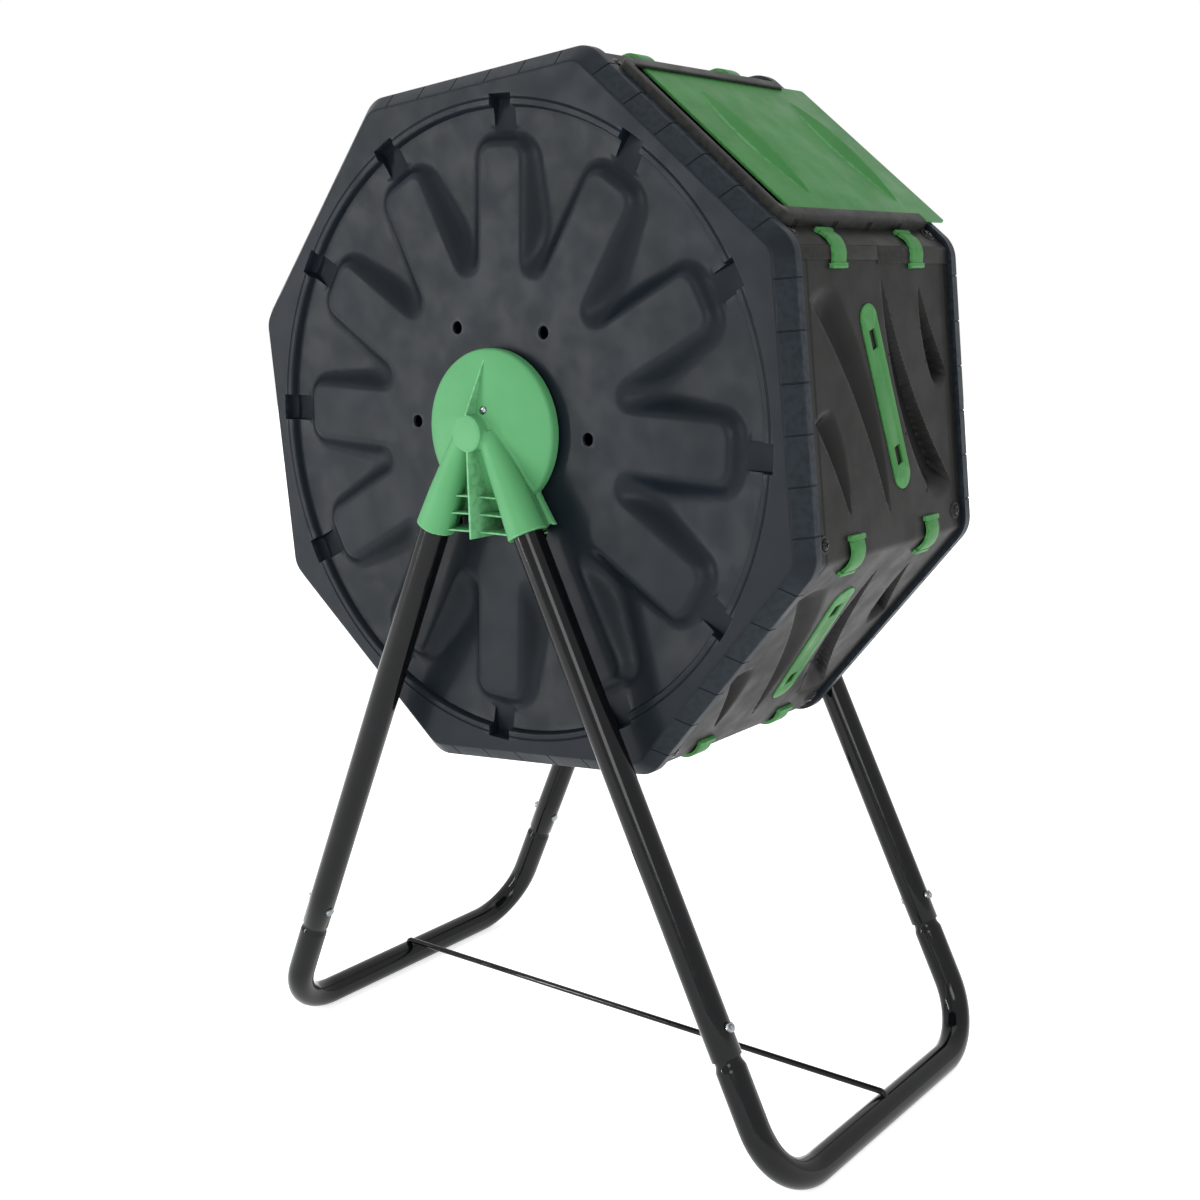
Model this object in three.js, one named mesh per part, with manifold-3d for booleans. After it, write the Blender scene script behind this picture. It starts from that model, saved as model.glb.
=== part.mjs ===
// Compost tumbler: an eight-sided drum that turns on a splayed tube stand, with a door that
// slides along one side. Millimetres, +Z up, ground at z = 0. The axle lies along Y, and the
// origin is on the ground under the middle of the axle.
import * as THREE from "three";
import { mergeVertices } from "three/addons/utils/BufferGeometryUtils.js";
import Module from "manifold-3d";

const wasm = await Module();
wasm.setup();

// ---------------------------------------------------------------- sizes

// General
const SEAM = 0.3; // gap between pieces that lie against each other
const FIT = 0.3; // clearance of what is pushed into a socket
const EMBED = 0.5; // how far pieces of one moulding run into each other
const CUT = 1; // how far a cutter runs past the face it cuts

// Sides of the round pieces
const ROUND = 20; // around the axle
const STAR_SIDES = 36;
const DISC_SIDES = 32;
const BOLT_SIDES = 10;

// Drum
const AXLE_HEIGHT = 654;
const SIDES = 8;
const DRUM_TURN = 4.5; // degrees, how far the drum stands turned at rest
const PANEL_FLAT = 311; // axis to the outside of a side panel
const PANEL_WALL = 3;
const PANEL_END = 131; // half the length of a side panel

// End caps
const CAP_WALL = 3;
const RIM_PROUD = 5; // how far the rim stands out past the panels
const RIM_LENGTH = 10; // end of the panels to the chamfer
const CHAMFER_LENGTH = 13; // rim to the end face, along the drum
const CHAMFER_WIDTH = 13; // rim to the end face, towards the axis
const TONGUE = 13; // how far the cap reaches under the panels
const STAR_ARMS = 12;
const STAR_TURN = -7.5; // degrees, first arm from the middle of a side
const ARM_WIDTH = 50;
const ARM_CORNER = 12; // radius of the corners at an arm's end
const ARM_SHORT = 36; // end of an arm to the ring around the valleys
const RING_WIDTH = 19; // that ring, to the edge of the face
const VALLEY_SHALLOW = 4; // depth of the valleys at the ring
const VALLEY_DEEP = 20; // depth of the valleys at the core
const NOTCH_WIDTH = 27;
const NOTCH_LENGTH = 31;
const NOTCH_INSET = 10; // outer end of a notch to the edge of the face
const NOTCH_DEPTH = 8;
const VENT_HOLES = 6;
const VENT_HOLE_RADIUS = 6;
const VENT_CLEAR = 30.5; // edge of the hub's disc to the middle of a vent hole
const CORE_CLEAR = 34.5; // middle of a vent hole to the ends of the valleys
const COLLAR_WALL = 7;
const COLLAR_LENGTH = 22;

// Axle
const AXLE_RADIUS = 11;
const AXLE_WALL = 2;
const AXLE_PLAY = 0.5;

// Side panels
const FLUTE_DEPTH = 1.4;
const STRIP_LENGTH = 168;
const STRIP_WIDTH = 28;
const STRIP_THICK = 2.4;
const STRIP_SINK = 1.3;
const STRIP_TILT = 17.5;
const STRIP_SLOT = [10, 17];
const STRIP_SLOT_AT = 53;
const BOSS_RADIUS = 6;
const BOSS_TOP_RADIUS = 4.5;
const BOSS_HEIGHT = 2.2;
const BOSS_FROM_SEAM = 17;
const BOSS_FROM_END = 12;

// Clips over the seams
const CLIP_FROM_END = 63; // end of the panels to the middle of a clip
const CLIP_REACH = 19.5;
const CLIP_THICK = 2.6;
const CLIP_WIDTH = 20;
const CLIP_SOFT = 3; // how far the outside of the bend is cut off along each side
const CLIP_HEAD = 28;
const CLIP_HEAD_LENGTH = 6;
const CLIP_PEG = [3, 12];
const CLIP_PEG_LENGTH = 2;

// Door and its rails
const DOOR_THICK = 3;
const DOOR_STOP = 9; // end of the panel to the near edge of the shut door
const DOOR_LAP = 15; // how far the door reaches past the sides of the doorway
const DOOR_OPEN_AT_REST = 20;
const DOOR_PLAY = 0.4;
const DOORWAY_INSET = 15; // end of the panel to the doorway
const RAIL_WIDTH = 4.5;
const RAIL_LIP = 6;
const RAIL_LIP_THICK = 2.6;
const RAIL_SHORT = 11; // far end of a rail to the end of the panel
const RAIL_FROM_CLIP = 3.4;
const LEAF_INSET = 26; // tip of a leaf to the side of the door
const LEAF_WIDTH = 32;
const LEAF_HEIGHT = 1.2;
const LEAF_FROM_END = 56; // middle of a leaf to the end of the door

// Stand
const TUBE_RADIUS = 14;
const TUBE_WALL = 1.5;
const TUBE_SIDES = 12;
const LEG_STANDOFF = 1.5; // leg to the hub's disc
const LEG_TOP_X = 15; // where a leg's line passes the axle
const FOOT_X = 315; // axis to the middle of a ground bar
const JOINT_Z = 127; // where a leg meets its base tube
const BASE_BEND = 62;
const BASE_BEND_STEPS = 5;
const LEG_START = 32; // from the axle's level down the leg's line to its top end
const SPIGOT_LENGTH = 45;
const ROD_RADIUS = 3;
const ROD_SIDES = 8;
const ROD_BEND_INSIDE = 2;
const ROD_BEND_STEPS = 4;
const ROD_TAIL = 9; // how far the rod's ends reach into the ground bars
const BOLT_FROM_SPIGOT_END = 20;
const BOLT_RADIUS = 3;
const BOLT_HEAD = [5.5, 3.2];
const BOLT_NUT = [5, 5];
const BOLT_TAIL = 4;

// Hub brackets
const HUB_GAP = 2.5; // between the drum's face and the bracket's disc
const HUB_DISC_RADIUS = 73;
const HUB_DISC_THICK = 12;
const HUB_DISC_CHAMFER = 3;
const HUB_BOSS_WALL = 3; // around the axle
const HUB_CONE_SHORT = 10; // top of the disc's shallow cone to the boss's end
const HUB_BOSS_PROUD = 4; // past the legs
const HUB_BOSS_CLOSED = 13; // axle's end to the boss's end
const SOCKET_LENGTH = 98; // down the leg's line from the axle's level
const SOCKET_TOP_WALL = 2.5;
const SOCKET_END_WALL = 4.5;
const RIB_THICK = 2.5;
const RIB_SHORT = 3; // bottom of the middle rib, above the length of the sockets
const SHELVES = 3;
const SHELF_STEP = 16;
const SHELF_FROM_END = 5; // lowest shelf to the bottom of the rib
const APRON_THICK = 5;
const APRON_START = 50; // below the axle
const FIN_INSET = 5; // top of the fin to the edge of the disc
const HUB_SCREW_X = 12;
const HUB_SCREW_FROM_BOSS = 5;
const HUB_SCREW_RADIUS = 3.2;
const HUB_SCREW_HEIGHT = 2.2;
const HUB_SCREW_POCKET = 0.8; // room round its head

// Derived, the eight sides
const SECTOR = (2 * Math.PI) / SIDES;
const TAN = Math.tan(SECTOR / 2);
const COS = Math.cos(SECTOR / 2);
const rad = THREE.MathUtils.degToRad;
const SIDE_HALF = PANEL_FLAT * TAN;
const RIM_FLAT = PANEL_FLAT + RIM_PROUD;
const RIM_START = PANEL_END + RIM_LENGTH;
const FACE_Y = RIM_START + CHAMFER_LENGTH;
const FACE_FLAT = RIM_FLAT - CHAMFER_WIDTH;

// Derived, what is on an end face
const VENT_CIRCLE = HUB_DISC_RADIUS + VENT_CLEAR;
const STAR_CORE = VENT_CIRCLE + CORE_CLEAR;
const VALLEY_RIM = FACE_FLAT - RING_WIDTH;
const ARM_END = VALLEY_RIM - ARM_SHORT;
const NOTCH_END = FACE_FLAT - NOTCH_INSET;
const NOTCH_START = NOTCH_END - NOTCH_LENGTH;

// Derived, what is on the sides
const BOSS_X = SIDE_HALF - BOSS_FROM_SEAM;
const BOSS_Y = PANEL_END - BOSS_FROM_END;
const CLIP_Y = PANEL_END - CLIP_FROM_END;
const RAIL_OUTSIDE = SIDE_HALF - CLIP_REACH - RAIL_FROM_CLIP;
const RAIL_INSIDE = RAIL_OUTSIDE - RAIL_WIDTH;
const DOOR_HALF = RAIL_INSIDE - DOOR_PLAY;
const DOOR_LENGTH = 2 * PANEL_END;
const DOOR_CLOSED_Y = DOOR_STOP - PANEL_END;
const DOORWAY_HALF = DOOR_HALF - DOOR_LAP;
const DOORWAY_END = PANEL_END - DOORWAY_INSET;
const LEDGE_TOP = RIM_FLAT + DOOR_PLAY;
const DOOR_BOTTOM = LEDGE_TOP + DOOR_PLAY;
const DOOR_TOP = DOOR_BOTTOM + DOOR_THICK;
const LIP_BOTTOM = DOOR_TOP + DOOR_PLAY;

// Derived, the stand
const HUB_BACK = FACE_Y + HUB_GAP;
const HUB_FRONT = HUB_BACK + HUB_DISC_THICK;
const LEG_Y = HUB_FRONT + LEG_STANDOFF + TUBE_RADIUS;
const HUB_BOSS_END = LEG_Y + TUBE_RADIUS + HUB_BOSS_PROUD;
const HUB_CONE_END = HUB_BOSS_END - HUB_CONE_SHORT;
const AXLE_END = HUB_BOSS_END - HUB_BOSS_CLOSED;
const TUBE_FLAT = Math.cos(Math.PI / TUBE_SIDES);
const BAR_Z = TUBE_RADIUS * TUBE_FLAT; // a flat of the tube lies on the ground
const BORE_RADIUS = TUBE_RADIUS - TUBE_WALL;
const SPLAY = Math.atan2(FOOT_X - LEG_TOP_X, AXLE_HEIGHT - BAR_Z);
const LEG_DOWN = new THREE.Vector3(Math.sin(SPLAY), 0, -Math.cos(SPLAY));
const LEG_OUT = new THREE.Vector3(Math.cos(SPLAY), 0, Math.sin(SPLAY));

const black = { color: 0x34383c, roughness: 0.55, metalness: 0 };
const green = { color: 0x4c9a5c, roughness: 0.5, metalness: 0 };
const MATERIALS = {
  cap: { name: "black_polypropylene_cap", ...black },
  panel: { name: "black_polypropylene_panel", ...black, color: 0x35362f },
  green: { name: "green_polypropylene", ...green },
  tube: { name: "black_powder_coated_steel", color: 0x0e1114, roughness: 0.2, metalness: 0.3 },
  zinc: { name: "zinc_plated_steel", color: 0xb8bcc0, roughness: 0.35, metalness: 1 },
};

// ---------------------------------------------------------------- solids

// A closed three.js geometry as a solid that can be added to or cut from another.
function solid(geometry) {
  const bare = new THREE.BufferGeometry();
  bare.setAttribute("position", geometry.getAttribute("position"));
  if (geometry.index) bare.setIndex(geometry.index);
  const merged = mergeVertices(bare, 1e-4);
  const index = merged.index.array;
  const corners = [];
  for (let i = 0; i < index.length; i += 3) {
    const [a, b, c] = [index[i], index[i + 1], index[i + 2]];
    if (a !== b && b !== c && c !== a) corners.push(a, b, c);
  }
  const vertProperties = new Float32Array(merged.getAttribute("position").array);
  const triVerts = new Uint32Array(corners);
  return new wasm.Manifold(new wasm.Mesh({ numProp: 3, vertProperties, triVerts }));
}

function add(...solids) {
  return wasm.Manifold.union(solids);
}

function cut(body, ...cutters) {
  return body.subtract(wasm.Manifold.union(cutters));
}

function geometryOf(body) {
  const { vertProperties, triVerts } = body.getMesh();
  const geometry = new THREE.BufferGeometry();
  geometry.setAttribute("position", new THREE.BufferAttribute(vertProperties, 3));
  geometry.setIndex(new THREE.BufferAttribute(triVerts, 1));
  const flat = geometry.toNonIndexed();
  flat.computeVertexNormals();
  return flat;
}

function piece(name, body, material) {
  const mesh = new THREE.Mesh(geometryOf(body), new THREE.MeshStandardMaterial(material));
  mesh.name = name;
  return mesh;
}

// The same solid for another piece.
function again(name, mesh) {
  const copy = new THREE.Mesh(mesh.geometry.clone(), mesh.material.clone());
  copy.name = name;
  return copy;
}

function outline(points) {
  return new THREE.Shape(points.map(([x, y]) => new THREE.Vector2(x, y)));
}

// Points in x and y, raised from z0 to z1.
function prismZ(points, z0, z1) {
  const geometry = new THREE.ExtrudeGeometry(outline(points), { depth: z1 - z0, bevelEnabled: false });
  return solid(geometry.translate(0, 0, z0));
}

// Points in x and z, run along Y from y0 to y1.
function prismY(points, y0, y1) {
  const geometry = new THREE.ExtrudeGeometry(outline(points), { depth: y1 - y0, bevelEnabled: false });
  return solid(geometry.rotateX(Math.PI / 2).translate(0, y1, 0));
}

function box(x0, x1, y0, y1, z0, z1) {
  const geometry = new THREE.BoxGeometry(x1 - x0, y1 - y0, z1 - z0);
  return solid(geometry.translate((x0 + x1) / 2, (y0 + y1) / 2, (z0 + z1) / 2));
}

// A round bar along Y.
function rodY(radius, y0, y1, sides, x = 0, z = 0) {
  const geometry = new THREE.CylinderGeometry(radius, radius, y1 - y0, sides);
  return solid(geometry.translate(x, (y0 + y1) / 2, z));
}

// A profile of [radius, distance along] as lathe points, in the order that faces its solid outward.
function lathePoints(profile) {
  const points = profile.map(([r, t]) => new THREE.Vector2(r, t));
  return THREE.ShapeUtils.isClockWise(points) ? points.reverse() : points;
}

// A profile of [radius, y], turned about Y.
function turned(profile, sides, start = 0) {
  return solid(new THREE.LatheGeometry(lathePoints(profile), sides, start));
}

// A profile of [distance out, y], made into an eight-sided ring whose flats are that far out.
function octagonal(profile) {
  const corners = profile.map(([flat, y]) => [flat / COS, y]);
  return turned(corners, SIDES, Math.PI / 2 - SECTOR / 2);
}

// A profile of [radius, distance along], turned about a line from a point along a direction.
function turnedAlong(profile, sides, from, direction) {
  const turn = new THREE.Quaternion().setFromUnitVectors(new THREE.Vector3(0, 1, 0), direction);
  const geometry = new THREE.LatheGeometry(lathePoints(profile), sides).applyQuaternion(turn);
  return solid(geometry.translate(from.x, from.y, from.z));
}

function cylinder(radius, t0, t1) {
  return [[0, t0], [radius, t0], [radius, t1], [0, t1]];
}

// ---------------------------------------------------------------- tubes

// A path of straight runs with round bends, sampled only where its direction changes.
class BentPath extends THREE.Curve {
  constructor(corners, bend, steps) {
    super();
    this.stations = [];
    corners.forEach((corner, i) => {
      if (i === 0 || i === corners.length - 1) {
        const other = corners[i === 0 ? 1 : i - 1];
        const along = i === 0 ? other.clone().sub(corner) : corner.clone().sub(other);
        this.stations.push({ point: corner, tangent: along.normalize() });
      } else {
        this.turn(corners[i - 1], corner, corners[i + 1], bend, steps);
      }
    });
  }

  turn(before, corner, after, bend, steps) {
    const come = corner.clone().sub(before).normalize();
    const go = after.clone().sub(corner).normalize();
    const angle = come.angleTo(go);
    const inward = go.clone().addScaledVector(come, -come.dot(go)).normalize();
    const start = corner.clone().addScaledVector(come, -bend * Math.tan(angle / 2));
    for (let i = 0; i <= steps; i += 1) {
      const at = (angle * i) / steps;
      const point = start.clone().addScaledVector(come, bend * Math.sin(at));
      point.addScaledVector(inward, bend * (1 - Math.cos(at)));
      const tangent = come.clone().multiplyScalar(Math.cos(at)).addScaledVector(inward, Math.sin(at));
      this.stations.push({ point, tangent });
    }
  }

  get steps() {
    return this.stations.length - 1;
  }

  getPointAt(u) {
    return this.stations[Math.round(u * this.steps)].point.clone();
  }

  getTangentAt(u) {
    return this.stations[Math.round(u * this.steps)].tangent.clone();
  }
}

function polygon(radius, sides, turn) {
  const points = [];
  for (let i = 0; i < sides; i += 1) {
    const at = turn + ((i + 0.5) * 2 * Math.PI) / sides;
    points.push([radius * Math.cos(at), radius * Math.sin(at)]);
  }
  return points;
}

function swept(path, radius, sides = TUBE_SIDES, turn = SPLAY) {
  const options = { steps: path.steps, extrudePath: path, bevelEnabled: false };
  return solid(new THREE.ExtrudeGeometry(outline(polygon(radius, sides, turn)), options));
}

// ---------------------------------------------------------------- end caps

function starSolid(grow, y0, y1) {
  const parts = [rodY(STAR_CORE + grow, y0, y1, STAR_SIDES)];
  const half = ARM_WIDTH / 2 + grow;
  const end = ARM_END + grow;
  const [start, soft] = [ARM_CORNER, ARM_CORNER * (1 - Math.SQRT1_2)]; // a round corner in two steps
  const arm = [
    [0, -half], [end - start, -half], [end - soft, -half + soft], [end, -half + start],
    [end, half - start], [end - soft, half - soft], [end - start, half], [0, half],
  ];
  for (let i = 0; i < STAR_ARMS; i += 1) {
    const angle = 360 / STAR_ARMS * i + STAR_TURN;
    parts.push(prismY(arm, y0, y1).rotate([0, -angle, 0]));
  }
  return add(...parts);
}

// The hollow of the valleys, from the face in to their sloping floor.
function valleyDish(deeper, wider) {
  const inner = STAR_CORE - 2 * CAP_WALL;
  return turned(
    [
      [inner, -FACE_Y - CUT],
      [VALLEY_RIM + wider, -FACE_Y - CUT],
      [VALLEY_RIM + wider, -FACE_Y + VALLEY_SHALLOW + deeper],
      [inner, -FACE_Y + VALLEY_DEEP + deeper],
      [inner, -FACE_Y - CUT],
    ],
    STAR_SIDES,
  );
}

function endCap() {
  const seat = PANEL_FLAT - PANEL_WALL - SEAM;
  const tray = octagonal([
    [0, -FACE_Y], [FACE_FLAT, -FACE_Y], [RIM_FLAT, -RIM_START], [RIM_FLAT, -PANEL_END],
    [seat, -PANEL_END], [seat, -PANEL_END + TONGUE], [seat - CAP_WALL, -PANEL_END + TONGUE],
    [seat - CAP_WALL, -PANEL_END - CAP_WALL], [RIM_FLAT - CAP_WALL, -PANEL_END - CAP_WALL],
    [RIM_FLAT - CAP_WALL, -RIM_START + EMBED], [FACE_FLAT - CAP_WALL / 2, -FACE_Y + CAP_WALL],
    [0, -FACE_Y + CAP_WALL],
  ]);
  const backing = cut(
    valleyDish(CAP_WALL, CAP_WALL),
    starSolid(-CAP_WALL, -FACE_Y - 2 * CUT, 0),
  ).trimByPlane([0, 1, 0], -FACE_Y);
  const valleys = cut(valleyDish(0, 0), starSolid(0, -FACE_Y - 2 * CUT, 0));
  const collar = rodY(AXLE_RADIUS + COLLAR_WALL, -FACE_Y, -FACE_Y + COLLAR_LENGTH, ROUND);
  const bore = rodY((AXLE_RADIUS + AXLE_PLAY) / Math.cos(Math.PI / ROUND), -FACE_Y - CUT, 0, ROUND);
  const cutters = [valleys, bore];
  const pads = [];
  for (let i = 0; i < STAR_ARMS; i += 1) {
    const turn = [0, -(360 / STAR_ARMS * i + STAR_TURN), 0];
    const half = NOTCH_WIDTH / 2;
    const floor = -FACE_Y + NOTCH_DEPTH;
    cutters.push(box(NOTCH_START, NOTCH_END, -FACE_Y - CUT, floor, -half, half).rotate(turn));
    const [x0, x1] = [NOTCH_START - CAP_WALL, NOTCH_END + CAP_WALL];
    const z = half + CAP_WALL;
    pads.push(box(x0, x1, -FACE_Y + EMBED, floor + CAP_WALL, -z, z).rotate(turn));
  }
  for (let i = 0; i < VENT_HOLES; i += 1) {
    const at = rad(360 / VENT_HOLES * i + STAR_TURN);
    const [x, z] = [VENT_CIRCLE * Math.cos(at), VENT_CIRCLE * Math.sin(at)];
    cutters.push(rodY(VENT_HOLE_RADIUS, -FACE_Y - CUT, -FACE_Y + CAP_WALL + CUT, BOLT_SIDES, x, z));
  }
  return cut(add(tray, backing, collar, ...pads), ...cutters);
}

// ---------------------------------------------------------------- side panels

// Each side is drawn lying on top of the drum: x across the side, y along the drum, z outward.

function panelPlate() {
  const inside = PANEL_FLAT - PANEL_WALL;
  const edge = SEAM / 2 / COS;
  const points = [
    [-inside * TAN + edge, inside], [inside * TAN - edge, inside],
    [PANEL_FLAT * TAN - edge, PANEL_FLAT], [-PANEL_FLAT * TAN + edge, PANEL_FLAT],
  ];
  return prismY(points, -PANEL_END + SEAM, PANEL_END - SEAM);
}

// An arc from one tip to another, bowed out by a sagitta.
function bow(tip0, tip1, sagitta, steps) {
  const [dx, dy] = [tip1[0] - tip0[0], tip1[1] - tip0[1]];
  const chord = Math.hypot(dx, dy);
  const points = [];
  for (let i = 0; i <= steps; i += 1) {
    const t = i / steps;
    const lift = (4 * sagitta * t * (1 - t)) / chord;
    points.push([tip0[0] + dx * t - dy * lift, tip0[1] + dy * t + dx * lift]);
  }
  return points;
}

function crescent(tip0, tip1, inner, outer, steps = 5) {
  const there = bow(tip0, tip1, inner, steps);
  const back = bow(tip0, tip1, outer, steps).reverse().slice(1, -1);
  return [...there, ...back];
}

// Tips across and along the side, and the bows of the two edges between them.
const FLUTES = [
  { tip0: [41 - SIDE_HALF, 12 - PANEL_END], tip1: [SIDE_HALF - 23, -4], inner: 13, outer: 34 },
  { tip0: [12, 10 - PANEL_END], tip1: [SIDE_HALF - 32, 59 - PANEL_END], inner: 3, outer: 24 },
];

function fluteCutters() {
  const cutters = [];
  for (const { tip0, tip1, inner, outer } of FLUTES) {
    const shape = crescent(tip0, tip1, inner, outer);
    const turnedShape = shape.map(([x, y]) => [-x, -y]);
    cutters.push(prismZ(shape, PANEL_FLAT - FLUTE_DEPTH, PANEL_FLAT + CUT));
    cutters.push(prismZ(turnedShape, PANEL_FLAT - FLUTE_DEPTH, PANEL_FLAT + CUT));
  }
  return cutters;
}

function capsule(length, width, steps = 5) {
  const [r, half] = [width / 2, (length - width) / 2];
  const points = [];
  for (let i = 0; i <= steps; i += 1) {
    const at = (Math.PI * i) / steps;
    points.push([half + r * Math.sin(at), -r * Math.cos(at)]);
  }
  return [...points, ...points.map(([x, y]) => [-x, -y])];
}

// Slots through a vent strip, or through the panel under it.
function stripSlots(clearance, z0, z1) {
  const [across, along] = STRIP_SLOT;
  const slots = [];
  for (const x of [-STRIP_SLOT_AT, STRIP_SLOT_AT]) {
    const [a, b] = [along / 2 + clearance, across / 2 + clearance];
    slots.push(box(x - a, x + a, -b, b, z0, z1).rotate([0, 0, STRIP_TILT]));
  }
  return slots;
}

function ventStrip() {
  const bottom = PANEL_FLAT - STRIP_SINK;
  const plate = prismZ(capsule(STRIP_LENGTH, STRIP_WIDTH), bottom, bottom + STRIP_THICK);
  return cut(plate.rotate([0, 0, STRIP_TILT]), ...stripSlots(0, bottom - CUT, PANEL_FLAT + STRIP_THICK));
}

function stripSeat() {
  const [length, width] = [STRIP_LENGTH + 2 * FIT, STRIP_WIDTH + 2 * FIT];
  const floor = PANEL_FLAT - STRIP_SINK - SEAM;
  return prismZ(capsule(length, width), floor, PANEL_FLAT + CUT).rotate([0, 0, STRIP_TILT]);
}

// Sockets for the clips' pegs, on the edges named by their side of the panel.
function pegSockets(sides) {
  const [across, along] = CLIP_PEG;
  const x = SIDE_HALF - CLIP_REACH + CLIP_HEAD_LENGTH / 2;
  const floor = PANEL_FLAT - CLIP_PEG_LENGTH - FIT;
  const sockets = [];
  for (const side of sides) {
    for (const y of [-CLIP_Y, CLIP_Y]) {
      const [a, b] = [across / 2 + FIT, along / 2 + FIT];
      sockets.push(box(side * x - a, side * x + a, y - b, y + b, floor, PANEL_FLAT + CUT));
    }
  }
  return sockets;
}

function cornerBosses(sides) {
  const bosses = [];
  for (const side of sides) {
    for (const y of [-BOSS_Y, BOSS_Y]) {
      const height = BOSS_HEIGHT + EMBED;
      const round = new THREE.CylinderGeometry(BOSS_TOP_RADIUS, BOSS_RADIUS, height, BOLT_SIDES);
      const z = PANEL_FLAT + height / 2 - EMBED;
      bosses.push(solid(round.rotateX(Math.PI / 2).translate(side * BOSS_X, y, z)));
    }
  }
  return bosses;
}

function plainPanel() {
  const plate = add(panelPlate(), ...cornerBosses([1]));
  const vents = stripSlots(FIT, PANEL_FLAT - PANEL_WALL - CUT, PANEL_FLAT);
  return cut(plate, ...fluteCutters(), stripSeat(), ...vents, ...pegSockets([-1, 1]));
}

// The panel with the doorway: a ledge all round, channels for the door and a stop at one end.
function doorFrame() {
  const base = PANEL_FLAT - EMBED;
  const top = LIP_BOTTOM + RAIL_LIP_THICK;
  const near = -PANEL_END + SEAM;
  const stop = DOOR_CLOSED_Y - DOOR_PLAY;
  const lip = DOOR_HALF - RAIL_LIP;
  const rails = [];
  for (const side of [-1, 1]) {
    const at = (x, z) => [side * x, z];
    const channel = [
      at(DOORWAY_HALF, base), at(RAIL_OUTSIDE, base), at(RAIL_OUTSIDE, top), at(lip, top),
      at(lip, LIP_BOTTOM), at(RAIL_INSIDE, LIP_BOTTOM), at(RAIL_INSIDE, LEDGE_TOP),
      at(DOORWAY_HALF, LEDGE_TOP),
    ];
    rails.push(prismY(channel, near, PANEL_END - RAIL_SHORT));
  }
  const nearStop = box(-RAIL_OUTSIDE, RAIL_OUTSIDE, near, stop, base, top);
  const nearLedge = box(-RAIL_INSIDE, RAIL_INSIDE, near, -DOORWAY_END, base, LEDGE_TOP);
  const farLedge = box(-RAIL_INSIDE, RAIL_INSIDE, DOORWAY_END, PANEL_END - SEAM, base, LEDGE_TOP);
  const plate = add(panelPlate(), ...rails, nearStop, nearLedge, farLedge, ...cornerBosses([-1, 1]));
  const doorway = box(
    -DOORWAY_HALF, DOORWAY_HALF, -DOORWAY_END, DOORWAY_END, PANEL_FLAT - PANEL_WALL - CUT, base + CUT,
  );
  return cut(plate, doorway, ...pegSockets([-1, 1]));
}

function door() {
  const y0 = DOOR_CLOSED_Y + DOOR_OPEN_AT_REST;
  const plate = box(-DOOR_HALF, DOOR_HALF, y0, y0 + DOOR_LENGTH, DOOR_BOTTOM, DOOR_TOP);
  const leaves = [];
  const tip = DOOR_HALF - LEAF_INSET;
  const leaf = crescent([-tip, 0], [tip, 0], -LEAF_WIDTH / 2, LEAF_WIDTH / 2, 6);
  for (const y of [LEAF_FROM_END, DOOR_LENGTH - LEAF_FROM_END]) {
    const place = [0, y0 + y, 0];
    leaves.push(prismZ(leaf, DOOR_TOP - EMBED, DOOR_TOP + LEAF_HEIGHT).translate(place));
  }
  return add(plate, ...leaves);
}

// A strap over the corner between two sides, drawn at the top of the drum with the corner up.
function clip() {
  const corner = PANEL_FLAT / COS;
  const [c, s] = [Math.cos(SECTOR / 2), Math.sin(SECTOR / 2)];
  // a point so far from the corner along a side, and so far out from it
  const on = (side, along, out) => [side * (along * c + out * s), corner - along * s + out * c];
  const strap = [
    on(-1, CLIP_REACH, SEAM), [0, corner + SEAM / c], on(1, CLIP_REACH, SEAM),
    on(1, CLIP_REACH, SEAM + CLIP_THICK), on(1, CLIP_SOFT, SEAM + CLIP_THICK),
    on(-1, CLIP_SOFT, SEAM + CLIP_THICK), on(-1, CLIP_REACH, SEAM + CLIP_THICK),
  ];
  const parts = [prismY(strap, -CLIP_WIDTH / 2, CLIP_WIDTH / 2)];
  for (const side of [-1, 1]) {
    const middle = CLIP_REACH - CLIP_HEAD_LENGTH / 2;
    const head = [
      on(side, CLIP_REACH - CLIP_HEAD_LENGTH, SEAM), on(side, CLIP_REACH, SEAM),
      on(side, CLIP_REACH, SEAM + CLIP_THICK + EMBED),
      on(side, CLIP_REACH - CLIP_HEAD_LENGTH, SEAM + CLIP_THICK + EMBED),
    ];
    const [across, along] = CLIP_PEG;
    const peg = [
      on(side, middle - across / 2, -CLIP_PEG_LENGTH), on(side, middle + across / 2, -CLIP_PEG_LENGTH),
      on(side, middle + across / 2, SEAM + EMBED), on(side, middle - across / 2, SEAM + EMBED),
    ];
    parts.push(prismY(head, -CLIP_HEAD / 2, CLIP_HEAD / 2));
    parts.push(prismY(peg, -along / 2, along / 2));
  }
  return add(...parts);
}

// ---------------------------------------------------------------- stand

// A point on the near right leg's line, so far down from the axle's level.
function onLeg(t) {
  return new THREE.Vector3(LEG_TOP_X, -LEG_Y, AXLE_HEIGHT).addScaledVector(LEG_DOWN, t);
}

function legLengthTo(z) {
  return (AXLE_HEIGHT - z) / Math.cos(SPLAY);
}

function boltPoint() {
  return onLeg(legLengthTo(JOINT_Z) - SPIGOT_LENGTH + BOLT_FROM_SPIGOT_END);
}

function boltHole() {
  const reach = TUBE_RADIUS + CUT;
  return turnedAlong(cylinder(BOLT_RADIUS + FIT, -reach, reach), BOLT_SIDES, boltPoint(), LEG_OUT);
}

function leg() {
  const path = new BentPath([onLeg(LEG_START), onLeg(legLengthTo(JOINT_Z) - SEAM)]);
  const bore = new BentPath([onLeg(LEG_START - CUT), onLeg(legLengthTo(JOINT_Z) + CUT)]);
  return cut(swept(path, TUBE_RADIUS), swept(bore, BORE_RADIUS), boltHole());
}

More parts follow.
